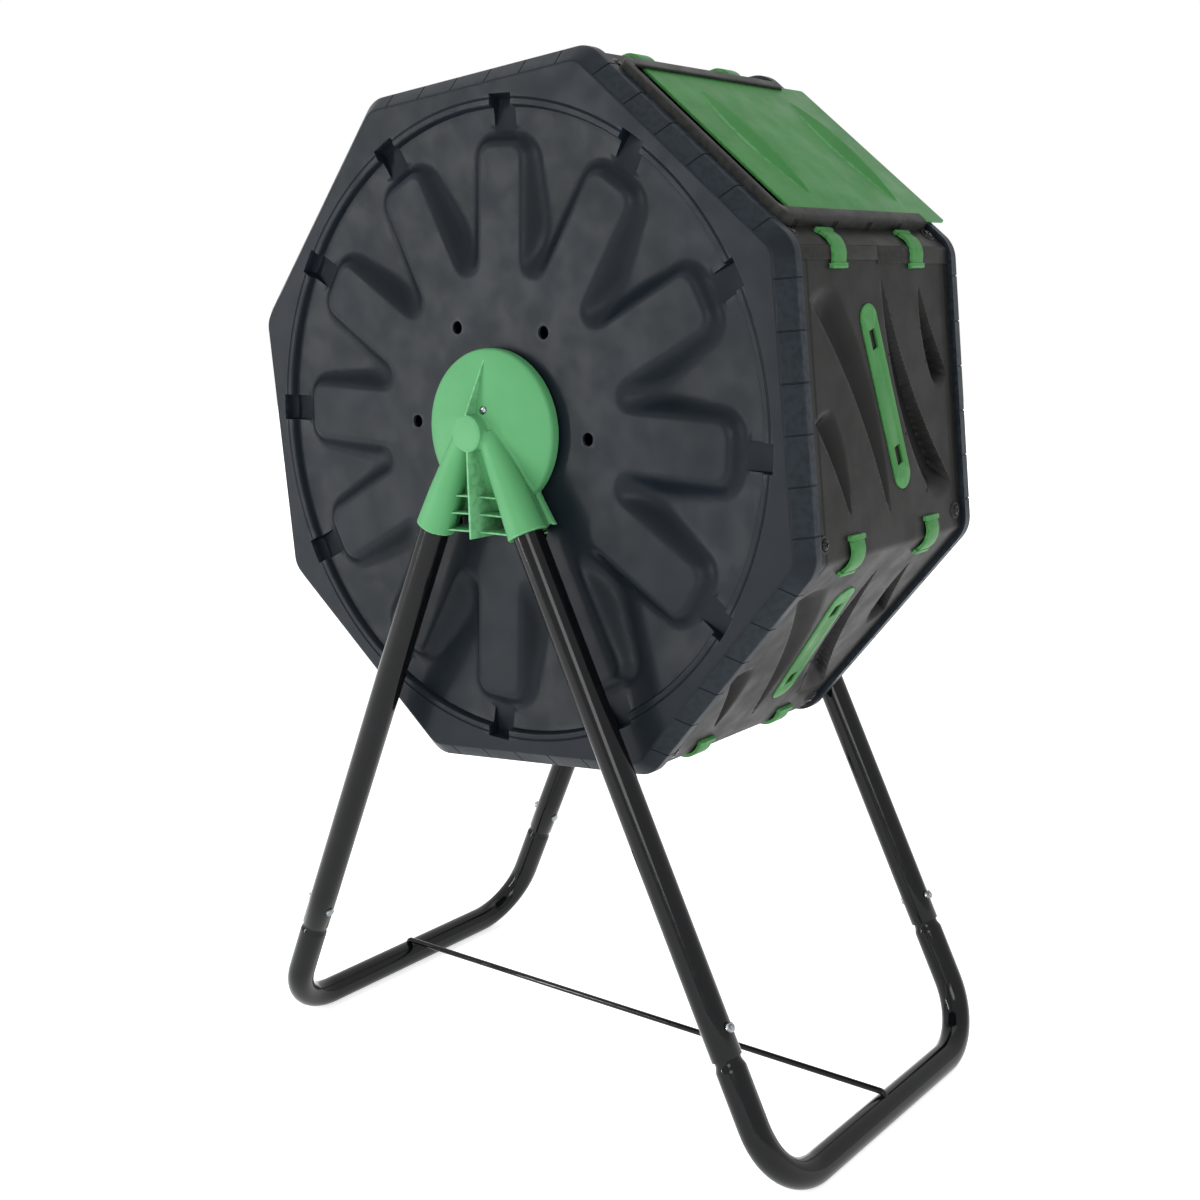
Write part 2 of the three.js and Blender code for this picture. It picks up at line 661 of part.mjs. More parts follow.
// The U that carries the two right legs, with a reduced end that fits in each.
function baseTube() {
  const joint = legLengthTo(JOINT_Z);
  const foot = onLeg(legLengthTo(BAR_Z));
  const far = (point) => new THREE.Vector3(point.x, -point.y, point.z);
  const run = (t) => [onLeg(t), foot, far(foot), far(onLeg(t))];
  const outside = swept(new BentPath(run(joint), BASE_BEND, BASE_BEND_STEPS), TUBE_RADIUS);
  const inside = swept(new BentPath(run(joint - CUT), BASE_BEND, BASE_BEND_STEPS), BORE_RADIUS);
  const spigotRadius = BORE_RADIUS * TUBE_FLAT - FIT;
  const spigotBore = spigotRadius - TUBE_WALL;
  const root = TUBE_RADIUS * TUBE_FLAT - EMBED;
  const spigot = turnedAlong(
    [
      [spigotBore, -2 * TUBE_WALL], [root, -2 * TUBE_WALL], [root, -TUBE_WALL], [spigotRadius, 0],
      [spigotRadius, SPIGOT_LENGTH], [spigotBore, SPIGOT_LENGTH], [spigotBore, -2 * TUBE_WALL],
    ],
    TUBE_SIDES,
    onLeg(joint),
    LEG_DOWN.clone().negate(),
  );
  const near = cut(spigot, boltHole());
  const rodHole = rodPassage();
  return add(cut(outside, inside, rodHole), near, near.mirror([0, 1, 0]));
}

function rodPassage() {
  const hole = cylinder(ROD_RADIUS + 2 * FIT, 0, TUBE_RADIUS + CUT);
  return turnedAlong(hole, BOLT_SIDES, new THREE.Vector3(FOOT_X, 0, BAR_Z), new THREE.Vector3(0, 0, 1));
}

// The rod between the ground bars, with its ends turned down into them.
function crossRod() {
  const z = BAR_Z + TUBE_RADIUS + ROD_RADIUS + FIT;
  const down = BAR_Z + TUBE_RADIUS - ROD_TAIL;
  const path = new BentPath(
    [
      new THREE.Vector3(-FOOT_X, 0, down), new THREE.Vector3(-FOOT_X, 0, z),
      new THREE.Vector3(FOOT_X, 0, z), new THREE.Vector3(FOOT_X, 0, down),
    ],
    ROD_RADIUS + ROD_BEND_INSIDE,
    ROD_BEND_STEPS,
  );
  return swept(path, ROD_RADIUS, ROD_SIDES, 0);
}

// The outline of a domed head, from the middle of its top to its edge.
function domedHead(radius, height, seat) {
  const [top, edge] = [radius * 0.65, height * 0.35];
  return [[0, -seat - height], [top, -seat - height], [radius, -seat - edge], [radius, -seat]];
}

function legBolt() {
  const [headRadius, headHeight] = BOLT_HEAD;
  const [nutRadius, nutHeight] = BOLT_NUT;
  const seat = TUBE_RADIUS + SEAM;
  const profile = [
    ...domedHead(headRadius, headHeight, seat), [BOLT_RADIUS, -seat], [BOLT_RADIUS, seat],
    [nutRadius, seat], [nutRadius, seat + nutHeight], [BOLT_RADIUS, seat + nutHeight],
    [BOLT_RADIUS, seat + nutHeight + BOLT_TAIL], [0, seat + nutHeight + BOLT_TAIL],
  ];
  return turnedAlong(profile, BOLT_SIDES, boltPoint(), LEG_OUT);
}

function axle() {
  const radius = AXLE_RADIUS;
  const bore = radius - AXLE_WALL;
  const end = AXLE_END;
  return turned([[bore, -end], [radius, -end], [radius, end], [bore, end], [bore, -end]], ROUND);
}

// ---------------------------------------------------------------- hub brackets

// The near bracket, drawn with the axle at z = 0.
function hubBracket() {
  const middle = new THREE.Vector3(LEG_TOP_X, -LEG_Y, 0);
  const bossRadius = AXLE_RADIUS + HUB_BOSS_WALL;
  const disc = turned(
    [
      [0, -HUB_BACK], [HUB_DISC_RADIUS, -HUB_BACK], [HUB_DISC_RADIUS, -HUB_FRONT + HUB_DISC_CHAMFER],
      [HUB_DISC_RADIUS - HUB_DISC_CHAMFER, -HUB_FRONT], [bossRadius, -HUB_CONE_END], [0, -HUB_CONE_END],
    ],
    DISC_SIDES,
  );
  const boss = rodY(bossRadius, -HUB_BOSS_END, -HUB_FRONT + EMBED, ROUND);
  const parts = [disc, boss];
  const bores = [rodY((AXLE_RADIUS + FIT) / Math.cos(Math.PI / ROUND), -AXLE_END - FIT, 0, ROUND)];
  for (const side of [1, -1]) {
    const from = new THREE.Vector3(side * middle.x, middle.y, middle.z);
    const down = new THREE.Vector3(side * LEG_DOWN.x, 0, LEG_DOWN.z);
    const cone = [
      [0, 0], [TUBE_RADIUS + SOCKET_TOP_WALL, 0], [TUBE_RADIUS + SOCKET_END_WALL, SOCKET_LENGTH],
      [0, SOCKET_LENGTH],
    ];
    const boreRadius = (TUBE_RADIUS + FIT) / Math.cos(Math.PI / ROUND);
    const bore = cylinder(boreRadius, LEG_START - SEAM, 2 * SOCKET_LENGTH);
    parts.push(turnedAlong(cone, ROUND, from, down));
    bores.push(turnedAlong(bore, ROUND, from, down));
  }
  const front = -LEG_Y - TUBE_RADIUS / 2;
  const ribBottom = SOCKET_LENGTH - RIB_SHORT;
  parts.push(box(-RIB_THICK / 2, RIB_THICK / 2, -HUB_BOSS_END, -HUB_BACK, -ribBottom, 0));
  const legX = (depth) => LEG_TOP_X + depth * Math.tan(SPLAY);
  for (let i = 0; i < SHELVES; i += 1) {
    const depth = ribBottom - SHELF_FROM_END - i * SHELF_STEP;
    const half = legX(depth);
    parts.push(box(-half, half, front, -HUB_BACK, -depth - RIB_THICK / 2, -depth + RIB_THICK / 2));
  }
  const [z0, z1] = [APRON_START, ribBottom - SHELF_FROM_END];
  const [x0, x1] = [legX(z0), legX(z1) + (TUBE_RADIUS + SOCKET_END_WALL) / Math.cos(SPLAY)];
  const apron = [[-x0, -z0], [-x1, -z1], [x1, -z1], [x0, -z0]];
  parts.push(prismY(apron, -HUB_BACK - APRON_THICK, -HUB_BACK));
  const finTop = HUB_DISC_RADIUS - FIN_INSET;
  const fin = box(-RIB_THICK / 2, RIB_THICK / 2, -HUB_BOSS_END, -HUB_FRONT + EMBED, 0, finTop);
  const slope = new THREE.Vector3(0, bossRadius - finTop, HUB_BOSS_END - HUB_FRONT).normalize();
  const height = -slope.dot(new THREE.Vector3(0, -HUB_FRONT, finTop));
  parts.push(fin.trimByPlane([0, -slope.y, -slope.z], height));
  const { x, z, seat, end } = screwPlace();
  bores.push(rodY(HUB_SCREW_RADIUS + HUB_SCREW_POCKET, -HUB_BOSS_END, -seat, BOLT_SIDES, x, z));
  bores.push(rodY(HUB_SCREW_RADIUS / 2 + FIT, -seat - CUT, end + FIT, BOLT_SIDES, x, z));
  return cut(add(...parts), ...bores);
}

// Where the screw stands, how far out its flat pocket in the cone is, and how deep it goes.
function screwPlace() {
  const z = AXLE_RADIUS + HUB_BOSS_WALL + HUB_SCREW_FROM_BOSS;
  const rise = (HUB_CONE_END - HUB_FRONT) / (HUB_DISC_RADIUS - HUB_DISC_CHAMFER - AXLE_RADIUS - HUB_BOSS_WALL);
  const outer = Math.hypot(HUB_SCREW_X, z) + HUB_SCREW_RADIUS + HUB_SCREW_POCKET;
  const seat = HUB_FRONT + rise * (HUB_DISC_RADIUS - HUB_DISC_CHAMFER - outer);
  return { x: HUB_SCREW_X, z, seat, end: -HUB_FRONT + HUB_DISC_THICK / 2 };
}

function hubScrew() {
  const place = screwPlace();
  const { x, z, end } = place;
  const [r, seat] = [HUB_SCREW_RADIUS, place.seat + SEAM];
  const profile = [...domedHead(r, HUB_SCREW_HEIGHT, seat), [r / 2, -seat], [r / 2, end], [0, end]];
  return turned(profile, BOLT_SIDES).translate([x, 0, z]);
}

// ---------------------------------------------------------------- assembly

function halfTurned(object) {
  const group = new THREE.Group();
  group.rotation.z = Math.PI;
  group.add(object);
  return group;
}

function buildStand() {
  const stand = new THREE.Group();
  stand.name = "stand";
  const baseRight = piece("base_tube_right", baseTube(), MATERIALS.tube);
  stand.add(baseRight, halfTurned(again("base_tube_left", baseRight)));
  stand.add(piece("cross_rod", crossRod(), MATERIALS.tube));

  // each of these is made for the near right leg and mirrored to the other three
  const quarters = [
    ["near_right", (body) => body], ["near_left", (body) => body.mirror([1, 0, 0])],
    ["far_right", (body) => body.mirror([0, 1, 0])],
    ["far_left", (body) => body.mirror([1, 0, 0]).mirror([0, 1, 0])],
  ];
  for (const [place, mirrored] of quarters) {
    stand.add(piece(`leg_${place}`, mirrored(leg()), MATERIALS.tube));
    stand.add(piece(`leg_bolt_${place}`, mirrored(legBolt()), MATERIALS.zinc));
  }

  const hub = new THREE.Group();
  hub.position.z = AXLE_HEIGHT;
  const bracket = piece("hub_bracket_near", hubBracket(), MATERIALS.green);
  const screw = piece("hub_screw_near", hubScrew(), MATERIALS.zinc);
  hub.add(bracket, screw, piece("axle", axle(), MATERIALS.zinc));
  hub.add(halfTurned(again("hub_bracket_far", bracket)));
  hub.add(halfTurned(again("hub_screw_far", screw)));
  stand.add(hub);
  return stand;
}

// Stands what is drawn on top of the drum on the side or corner at an angle from +X.
function aroundDrum(degrees, ...objects) {
  const group = new THREE.Group();
  group.rotation.y = rad(90 - degrees);
  group.add(...objects);
  return group;
}

function buildDrum() {
  const drum = new THREE.Group();
  drum.name = "drum";
  drum.position.z = AXLE_HEIGHT;
  drum.rotation.y = rad(-DRUM_TURN);
  const cap = piece("end_cap_near", endCap(), MATERIALS.cap);
  drum.add(cap, halfTurned(again("end_cap_far", cap)));

  const panel = piece("panel", plainPanel(), MATERIALS.panel);
  const strip = piece("strip", ventStrip(), MATERIALS.green);
  const strap = piece("clip", clip(), MATERIALS.green);
  const step = 360 / SIDES;
  for (let i = 0; i < SIDES; i += 1) {
    if (i === 1) {
      const frame = piece("door_frame", doorFrame(), MATERIALS.panel);
      drum.add(aroundDrum(step * i, frame, piece("door", door(), MATERIALS.green)));
    } else {
      const place = Math.floor(step * i);
      drum.add(aroundDrum(step * i, again(`panel_${place}`, panel), again(`vent_strip_${place}`, strip)));
    }
    for (const [end, y] of [["near", -CLIP_Y], ["far", CLIP_Y]]) {
      const one = again(`clip_${Math.floor(step * (i + 0.5))}_${end}`, strap);
      one.position.y = y;
      drum.add(aroundDrum(step * (i + 0.5), one));
    }
  }
  return drum;
}

const tumbler = new THREE.Group();
tumbler.name = "compost_tumbler";
tumbler.add(buildStand(), buildDrum());

export default tumbler;
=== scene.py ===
"""Looks of a compost tumbler: an eight-sided black drum with a green sliding door on a tube stand.

Sizes are millimetres until a mesh is made, and metres in it. +Z is up, the axle lies along Y, and
azimuth 0 looks along +Y. Each side of the drum is drawn lying on top of the drum, with x across the
side, y along the drum and z outward, and is then turned to its place.
"""

import math

import bmesh
import bpy
import numpy as np
from mathutils import Matrix, Vector


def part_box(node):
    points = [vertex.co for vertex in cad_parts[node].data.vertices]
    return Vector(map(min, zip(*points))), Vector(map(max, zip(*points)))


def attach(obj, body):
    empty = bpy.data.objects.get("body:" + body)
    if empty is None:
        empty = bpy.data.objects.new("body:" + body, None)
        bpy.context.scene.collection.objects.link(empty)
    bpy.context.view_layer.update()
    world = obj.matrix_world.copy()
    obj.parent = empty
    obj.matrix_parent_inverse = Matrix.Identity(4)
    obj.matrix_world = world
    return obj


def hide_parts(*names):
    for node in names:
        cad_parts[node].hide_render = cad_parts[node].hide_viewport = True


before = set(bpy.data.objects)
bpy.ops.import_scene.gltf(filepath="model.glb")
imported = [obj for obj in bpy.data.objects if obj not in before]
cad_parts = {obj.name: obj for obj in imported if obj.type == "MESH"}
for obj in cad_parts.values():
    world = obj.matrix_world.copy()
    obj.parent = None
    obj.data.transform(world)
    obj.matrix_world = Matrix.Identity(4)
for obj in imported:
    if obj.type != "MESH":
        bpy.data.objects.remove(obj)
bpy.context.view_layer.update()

# ---- sizes

MM = 0.001


def node_box(name):
    """Lowest and highest corners of a node at rest, in millimetres."""
    return [np.array(corner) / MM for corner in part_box(name)]


# The drum
SIDES = 8
DOOR_PLACE = 1
DOOR_SIDE = 45
TAN = math.tan(math.pi / SIDES)
AXLE_HEIGHT = float(sum(corner[2] for corner in node_box("axle")) / 2)
DRUM_TURN = math.radians(4.5)
FACE_Y = float(-node_box("end_cap_near")[0][1])
CHAMFER = 13.0
RIM_LENGTH = 10.0
PANEL_END = FACE_Y - CHAMFER - RIM_LENGTH
PANEL_FLAT = 311.0
PANEL_WALL = 3.0
SIDE_HALF = PANEL_FLAT * TAN
SEAM = 0.3

# End caps
CAP_WALL = 3.0
RIM_FLAT = PANEL_FLAT + 5.0
FACE_FLAT = RIM_FLAT - CHAMFER
RIM_START = FACE_Y - CHAMFER
RIM_EDGE_RADIUS = 3.5
TONGUE_LENGTH = 13.0
TONGUE_CORNER = 3.0
COLLAR_LENGTH = 22.0
RIM_CORNER = 30.0
FACE_CORNER = 20.0
TICK_SPACING = 41.0
TICKS = 6
TICK_HALF = 0.75
TICK_DEPTH = 0.9
STAR_ARMS = 12
STAR_TURN = math.radians(-7.5)
STAR_CORE = 138.0
ARM_END = 251.0
ARM_HALF = 26.0
ARM_CORNER = 13.0
VALLEY_RIM = 284.0
VALLEY_SHALLOW = 6.5
VALLEY_DEEP = 25.0
VALLEY_SLOPE = 1.15
NOTCH_HALF = 12.6
NOTCH_START = 257.0
NOTCH_END = 293.5
NOTCH_DEPTH = 13.0
RIDGE_RADIUS = 286.8
RIDGE_HALF = 1.5
RIDGE_HEIGHT = 0.9
GROOVE_RADIUS = 289.6
GROOVE_HALF = 1.2
GROOVE_DEPTH = 1.1
VENT_HOLES = 6
VENT_HOLE_RADIUS = 6.0
VENT_CIRCLE = 103.5
AXLE_RADIUS = 11.0

# Side panels
FLUTES = [
    {"tips": ((41 - SIDE_HALF, 12 - PANEL_END), (SIDE_HALF - 23, -4)), "bow": 13, "width": 40},
    {"tips": ((12, 10 - PANEL_END), (SIDE_HALF - 32, 59 - PANEL_END)), "bow": 3, "width": 29},
]
FLUTE_DEPTH = 13.0
STRIP_TILT = math.radians(17.5)
STRIP_LENGTH = 168.0
STRIP_WIDTH = 28.0
STRIP_SINK = 1.3
STRIP_THICK = 2.4
STRIP_SLOT = (17.0, 10.0)
STRIP_SLOT_AT = 53.0
BOSS_X = SIDE_HALF - 17.0
BOSS_Y = PANEL_END - 12.0
CLIP_Y = PANEL_END - 63.0
CLIP_REACH = 19.5
CLIP_THICK = 2.6
CLIP_WIDTH = 20.0
CLIP_HEAD = 25.0
CLIP_BEND = 8.0
CLIP_PROUD = 0.4

# Door and rails
DOOR_PLAY = 0.4
RAIL_OUTSIDE = SIDE_HALF - CLIP_REACH - 3.4
RAIL_WALL = 4.5
RAIL_LIP = 10.9
DOOR_HALF = RAIL_OUTSIDE - RAIL_WALL - DOOR_PLAY
DOOR_THICK = 3.0
LEDGE_TOP = RIM_FLAT + DOOR_PLAY
DOOR_BOTTOM = LEDGE_TOP + DOOR_PLAY
DOOR_TOP = DOOR_BOTTOM + DOOR_THICK
LIP_BOTTOM = DOOR_TOP + DOOR_PLAY
RAIL_TOP = LIP_BOTTOM + 2.6
RAIL_END = PANEL_END - 11.0
DOORWAY_HALF = DOOR_HALF - 15.0
DOORWAY_END = PANEL_END - 15.0
DOOR_STOP = 9.0
DOOR_OPEN_AT_REST = 20.0
DOOR_NEAR = DOOR_STOP - PANEL_END + DOOR_OPEN_AT_REST
DOOR_FAR = DOOR_NEAR + 2 * PANEL_END
LEAF_FROM_END = 56.0
LEAF_INSET = 26.0

# The stand
TUBE_RADIUS = 14.0
TUBE_WALL = 1.5
LEG_TOP_X = 15.0
BASE_HIGH = node_box("base_tube_right")[1]
FOOT_X = float(BASE_HIGH[0]) - TUBE_RADIUS
LEG_Y = float(BASE_HIGH[1]) - TUBE_RADIUS
BAR_Z = TUBE_RADIUS
JOINT_Z = 127.0
BASE_BEND = 62.0
LEG_START = 63.0
SPIGOT_LENGTH = 45.0
ROD_RADIUS = 3.0
HUB_BACK = FACE_Y + 2.5
HUB_FRONT = HUB_BACK + 12.0
AXLE_END = LEG_Y + TUBE_RADIUS - 9.0

# ---- mesh tools


def collection_link(thing):
    bpy.context.scene.collection.objects.link(thing)
    return thing


def mesh_object(name, vertices, faces, matrix=None, sharp=35.0):
    """A smooth-shaded mesh from millimetre points, with its place in the mesh."""
    mesh = bpy.data.meshes.new(name)
    mesh.from_pydata((np.asarray(vertices, float) * MM).tolist(), [], faces)
    if matrix is not None:
        mesh.transform(matrix)
    shade(mesh, sharp)
    return collection_link(bpy.data.objects.new(name, mesh))


def shade(mesh, sharp=35.0):
    """Smooth shading, with edges sharper than an angle in degrees left crisp."""
    mesh.shade_smooth()
    mesh.set_sharp_from_angle(angle=math.radians(sharp))


def outward(mesh):
    """Merges doubles and turns every face of a closed mesh outward."""
    bm = bmesh.new()
    bm.from_mesh(mesh)
    bmesh.ops.remove_doubles(bm, verts=bm.verts, dist=1e-6)
    bmesh.ops.recalc_face_normals(bm, faces=bm.faces)
    bm.to_mesh(mesh)
    bm.free()


def evaluated_mesh(thing):
    """The mesh that an object's modifiers give."""
    depsgraph = bpy.context.evaluated_depsgraph_get()
    depsgraph.update()
    return bpy.data.meshes.new_from_object(thing.evaluated_get(depsgraph))


def bake(thing, sharp=35.0):
    """Replaces an object's mesh by what its modifiers make of it, and removes them."""
    mesh = evaluated_mesh(thing)
    thing.modifiers.clear()
    old = thing.data
    thing.data = mesh
    bpy.data.meshes.remove(old)
    shade(thing.data, sharp)
    return thing


def modify(thing, kind, **settings):
    modifier = thing.modifiers.new(kind.lower(), kind)
    for name, value in settings.items():
        setattr(modifier, name, value)
    return modifier


def join(name, things):
    """One object from several, whose closed shells may run into each other."""
    bm = bmesh.new()
    for thing in things:
        bm.from_mesh(thing.data)
        bpy.data.objects.remove(thing)
    mesh = bpy.data.meshes.new(name)
    bm.to_mesh(mesh)
    bm.free()
    shade(mesh)
    return collection_link(bpy.data.objects.new(name, mesh))


def loft(name, rings, closed_path=False, matrix=None, sharp=35.0):
    """A closed skin over rings of points. The last ring joins the first, or both ends are covered."""
    rings = np.asarray(rings, float)
    count, around = rings.shape[:2]
    faces = []
    for i in range(count if closed_path else count - 1):
        here, there = i * around, (i + 1) % count * around
        for j in range(around):
            k = (j + 1) % around
            faces.append((here + j, here + k, there + k, there + j))
    if not closed_path:
        faces.append(tuple(range(around))[::-1])
        faces.append(tuple((count - 1) * around + j for j in range(around)))
    thing = mesh_object(name, rings.reshape(-1, 3), faces, matrix, sharp)
    outward(thing.data)
    shade(thing.data, sharp)
    return thing


def lathe(name, profile, sides, matrix=None, sharp=35.0):
    """A profile of (radius, height) turned about Z. It closes on itself or starts and ends on the axis."""
    on_axis = profile[0][0] == 0
    profile = [(max(r, 1e-4), h) for r, h in profile]
    angles = [2 * math.pi * j / sides for j in range(sides)]
    rings = [[(r * math.cos(a), r * math.sin(a), h) for a in angles] for r, h in profile]
    return loft(name, rings, closed_path=not on_axis, matrix=matrix, sharp=sharp)


def corner_arc(before, corner, after, radius, steps):
    """Points of the arc that rounds a corner between its neighbours."""
    corner = Vector(corner)
    come = (corner - Vector(before)).normalized()
    go = (Vector(after) - corner).normalized()
    half = come.angle(go) / 2
    start = corner - come * radius * math.tan(half)
    inward = (go - come * come.dot(go)).normalized()
    turns = [2 * half * k / steps for k in range(steps + 1)]
    return [start + come * radius * math.sin(t) + inward * radius * (1 - math.cos(t)) for t in turns]


def rounded(corners, radius, steps=5):
    """A closed outline with its corners rounded, by one radius or by one for each corner."""
    points = []
    count = len(corners)
    for i, corner in enumerate(corners):
        size = radius[i] if hasattr(radius, "__len__") else radius
        if size == 0:
            points.append(tuple(corner))
            continue
        points += map(tuple, corner_arc(corners[i - 1], corner, corners[(i + 1) % count], size, steps))
    return points


def inset(outline, distance):
    """The outline moved in by a small distance, for either direction of travel."""
    points = np.asarray(outline, float)
    ahead = np.roll(points, -1, 0) - points
    behind = points - np.roll(points, 1, 0)
    area = np.sum(points[:, 0] * np.roll(points[:, 1], -1) - points[:, 1] * np.roll(points[:, 0], -1))
    turn = 1.0 if area > 0 else -1.0
    normals = []
    for edge in (behind, ahead):
        edge = edge / np.maximum(np.linalg.norm(edge, axis=1, keepdims=True), 1e-9)
        normals.append(np.stack([-edge[:, 1], edge[:, 0]], 1) * turn)
    middle = normals[0] + normals[1]
    middle /= np.maximum(np.linalg.norm(middle, axis=1, keepdims=True), 1e-9)
    stretch = np.maximum((middle * normals[0]).sum(1, keepdims=True), 0.5)
    return points + middle * distance / stretch


def soft_plate(name, outline, low, high, soft, steps=3, bottom_soft=0.0, matrix=None):
    """An outline raised from low to high, with the top edge rounded, and the bottom edge if asked."""
    rings = []
    flat = lambda points, z: [(x, y, z) for x, y in points]
    if bottom_soft:
        for k in range(steps + 1):
            turn = math.pi / 2 * k / steps
            away = bottom_soft * (1 - math.sin(turn))
            rings.append(flat(inset(outline, away), low + bottom_soft * (1 - math.cos(turn))))
    else:
        rings.append(flat(outline, low))
    for k in range(steps + 1):
        turn = math.pi / 2 * k / steps
        away = soft * (1 - math.cos(turn))
        rings.append(flat(inset(outline, away), high - soft * (1 - math.sin(turn))))
    return loft(name, rings, matrix=matrix)


def box_piece(name, low, high, soft=0.3, matrix=None):
    """A block with softly rounded edges."""
    (x0, y0, z0), (x1, y1, z1) = low, high
    outline = rounded([(x0, y0), (x1, y0), (x1, y1), (x0, y1)], soft, 2)
    return soft_plate(name, outline, z0, z1, soft, 2, bottom_soft=soft, matrix=matrix)


def grid_faces(rows, columns):
    """The squares of a grid of vertices, given row by row."""
    corners = [i * columns + j for i in range(rows - 1) for j in range(columns - 1)]
    return [(a, a + columns, a + columns + 1, a + 1) for a in corners]


def cutter_box(name, low, high, matrix=None):
    (x0, y0, z0), (x1, y1, z1) = low, high
    rings = [[(x0, y0, z), (x1, y0, z), (x1, y1, z), (x0, y1, z)] for z in (z0, z1)]
    return loft(name, rings, matrix=matrix)


def placed_copy(thing, name, matrix):
    """A copy of a piece with its mesh moved to its place."""
    made = collection_link(bpy.data.objects.new(name, thing.data.copy()))
    made.data.transform(matrix)
    return made


def aim(point, direction):
    """A matrix, in metres, that stands what is drawn along +Z on a point along a direction."""
    turn = Vector(direction).to_track_quat("Z", "Y").to_matrix().to_4x4()
    return Matrix.Translation(Vector(point) * MM) @ turn


DRUM = Matrix.Translation((0, 0, AXLE_HEIGHT * MM)) @ Matrix.Rotation(-DRUM_TURN, 4, "Y")
ENDS = {"near": Matrix.Identity(4), "far": Matrix.Rotation(math.pi, 4, "Z")}


def on_side(degrees):
    """The place of what is drawn lying on top of the drum, for a side's angle from +X."""
    return DRUM @ Matrix.Rotation(math.radians(90 - degrees), 4, "Y")


def smooth_min(a, b, blend):
    """The lower of two heights, with a rounded change from one to the other."""
    h = np.maximum(blend - np.abs(a - b), 0) / blend
    return np.minimum(a, b) - h * h * blend / 4


def smooth_max(a, b, blend):
    return -smooth_min(-a, -b, blend)


def smooth_step(share):
    share = min(max(share, 0.0), 1.0)
    return share * share * (3 - 2 * share)


# ---- node trees


def linear(hex_colour):
    """An sRGB hex colour as linear red, green, blue and alpha."""
    channels = [int(hex_colour[i:i + 2], 16) / 255 for i in (1, 3, 5)]
    return tuple(c / 12.92 if c <= 0.04045 else ((c + 0.055) / 1.055) ** 2.4 for c in channels) + (1.0,)


def add_node(tree, kind, settings=None, **inputs):
    """Adds a node with its own settings and with its inputs fed."""
    node = tree.nodes.new(kind)
    for name, value in (settings or {}).items():
        setattr(node, name, value)
    return feed(tree, node, **inputs)


def feed(tree, node, **inputs):
    """Sets inputs of a node. An input is a value, or a socket that is linked to it."""
    for name, value in inputs.items():
        key = int(name[1:]) if name[0] == "_" else name.replace("_", " ")
        socket = node.inputs[key]
        if isinstance(value, bpy.types.NodeSocket):
            tree.links.new(value, socket)
        else:
            socket.default_value = value
    return node


def new_material(name):
    """A material with an empty tree, its shader and its output."""
    material = bpy.data.materials.new(name)
    material.use_nodes = True
    tree = material.node_tree
    tree.nodes.clear()
    shader = add_node(tree, "ShaderNodeBsdfPrincipled")
    output = add_node(tree, "ShaderNodeOutputMaterial", Surface=shader.outputs[0])
    output.location = (400, 0)
    return material, tree, shader


def noise(tree, coordinates, size, detail=3.0, roughness=0.5, **more):
    """Noise whose blotches are about a size in millimetres across."""
    scale = 1 / (size * MM)
    made = add_node(tree, "ShaderNodeTexNoise", Vector=coordinates, Scale=scale, Detail=detail,
                    Roughness=roughness, **more)
    return made.outputs[0]


def ramp(tree, factor, low, high, to_low, to_high):
    """Maps a factor from one range to another, held at both ends."""
    made = add_node(tree, "ShaderNodeMapRange", {"interpolation_type": "SMOOTHSTEP"}, Value=factor,
                    From_Min=low, From_Max=high, To_Min=to_low, To_Max=to_high)
    return made.outputs[0]


# ---- finishes


def place_of(tree):
    return add_node(tree, "ShaderNodeTexCoord").outputs["Object"]


def blend_colours(tree, factor, first, second):
    """The sockets 6 and 7 of a Mix node are its two colours, and its output 2 is their mix."""
    made = add_node(tree, "ShaderNodeMix", {"data_type": "RGBA"}, _0=factor, _6=first, _7=second)
    return made.outputs[2]


def moulded_polypropylene(name, colour, shade_colour, worn_and_sheen_colour, roughness, painted_recess_shade_colour=None):
    """Injection-moulded polypropylene: the mould's fine eroded grain makes it satin, its colour is even with
    faint flow marks, handled edges are a little lighter, partly wear and partly a painted sheen, and recesses
    can be darkened as painted shade."""
    material, tree, shader = new_material(name)
    place = place_of(tree)
    flow = ramp(tree, noise(tree, place, 90, 2.0, Distortion=0.6), 0.35, 0.65, 0.0, 1.0)
    mottled = blend_colours(tree, flow, linear(colour), linear(shade_colour))
    # a darker colour towards the floors of recesses: painted shade
    if painted_recess_shade_colour:
        recess = add_node(tree, "ShaderNodeAttribute", {"attribute_name": "recess"}).outputs["Fac"]
        mottled = blend_colours(tree, recess, mottled, linear(painted_recess_shade_colour))
    # lighter edges, in patches: partly handling wear, partly a painted sheen
    edge = add_node(tree, "ShaderNodeNewGeometry").outputs["Pointiness"]
    rubbed_and_sheen = add_node(tree, "ShaderNodeMath", {"operation": "MULTIPLY"},
                      _0=ramp(tree, edge, 0.515, 0.56, 0.0, 0.55),
                      _1=ramp(tree, noise(tree, place, 6), 0.35, 0.6, 0.3, 1.0)).outputs[0]
    feed(tree, shader, Base_Color=blend_colours(tree, rubbed_and_sheen, mottled, linear(worn_and_sheen_colour)))
    gloss = noise(tree, place, 30, 4.0)
    feed(tree, shader, Roughness=ramp(tree, gloss, 0.3, 0.7, roughness - 0.05, roughness + 0.07))
    # the real grain is about 0.2 mm, drawn at 0.9 mm so that it shows
    grain = add_node(tree, "ShaderNodeBump", Strength=0.28, Distance=0.12 * MM,
                     Height=noise(tree, place, 0.9, 2.0))
    # faint sinks where the wall is thicker, tens of millimetres across
    sinks = add_node(tree, "ShaderNodeBump", Strength=0.3, Distance=0.15 * MM,
                     Height=noise(tree, place, 45, 1.0), Normal=grain.outputs[0])
    feed(tree, shader, Normal=sinks.outputs[0], IOR=1.49, Specular_IOR_Level=0.17)
    return material


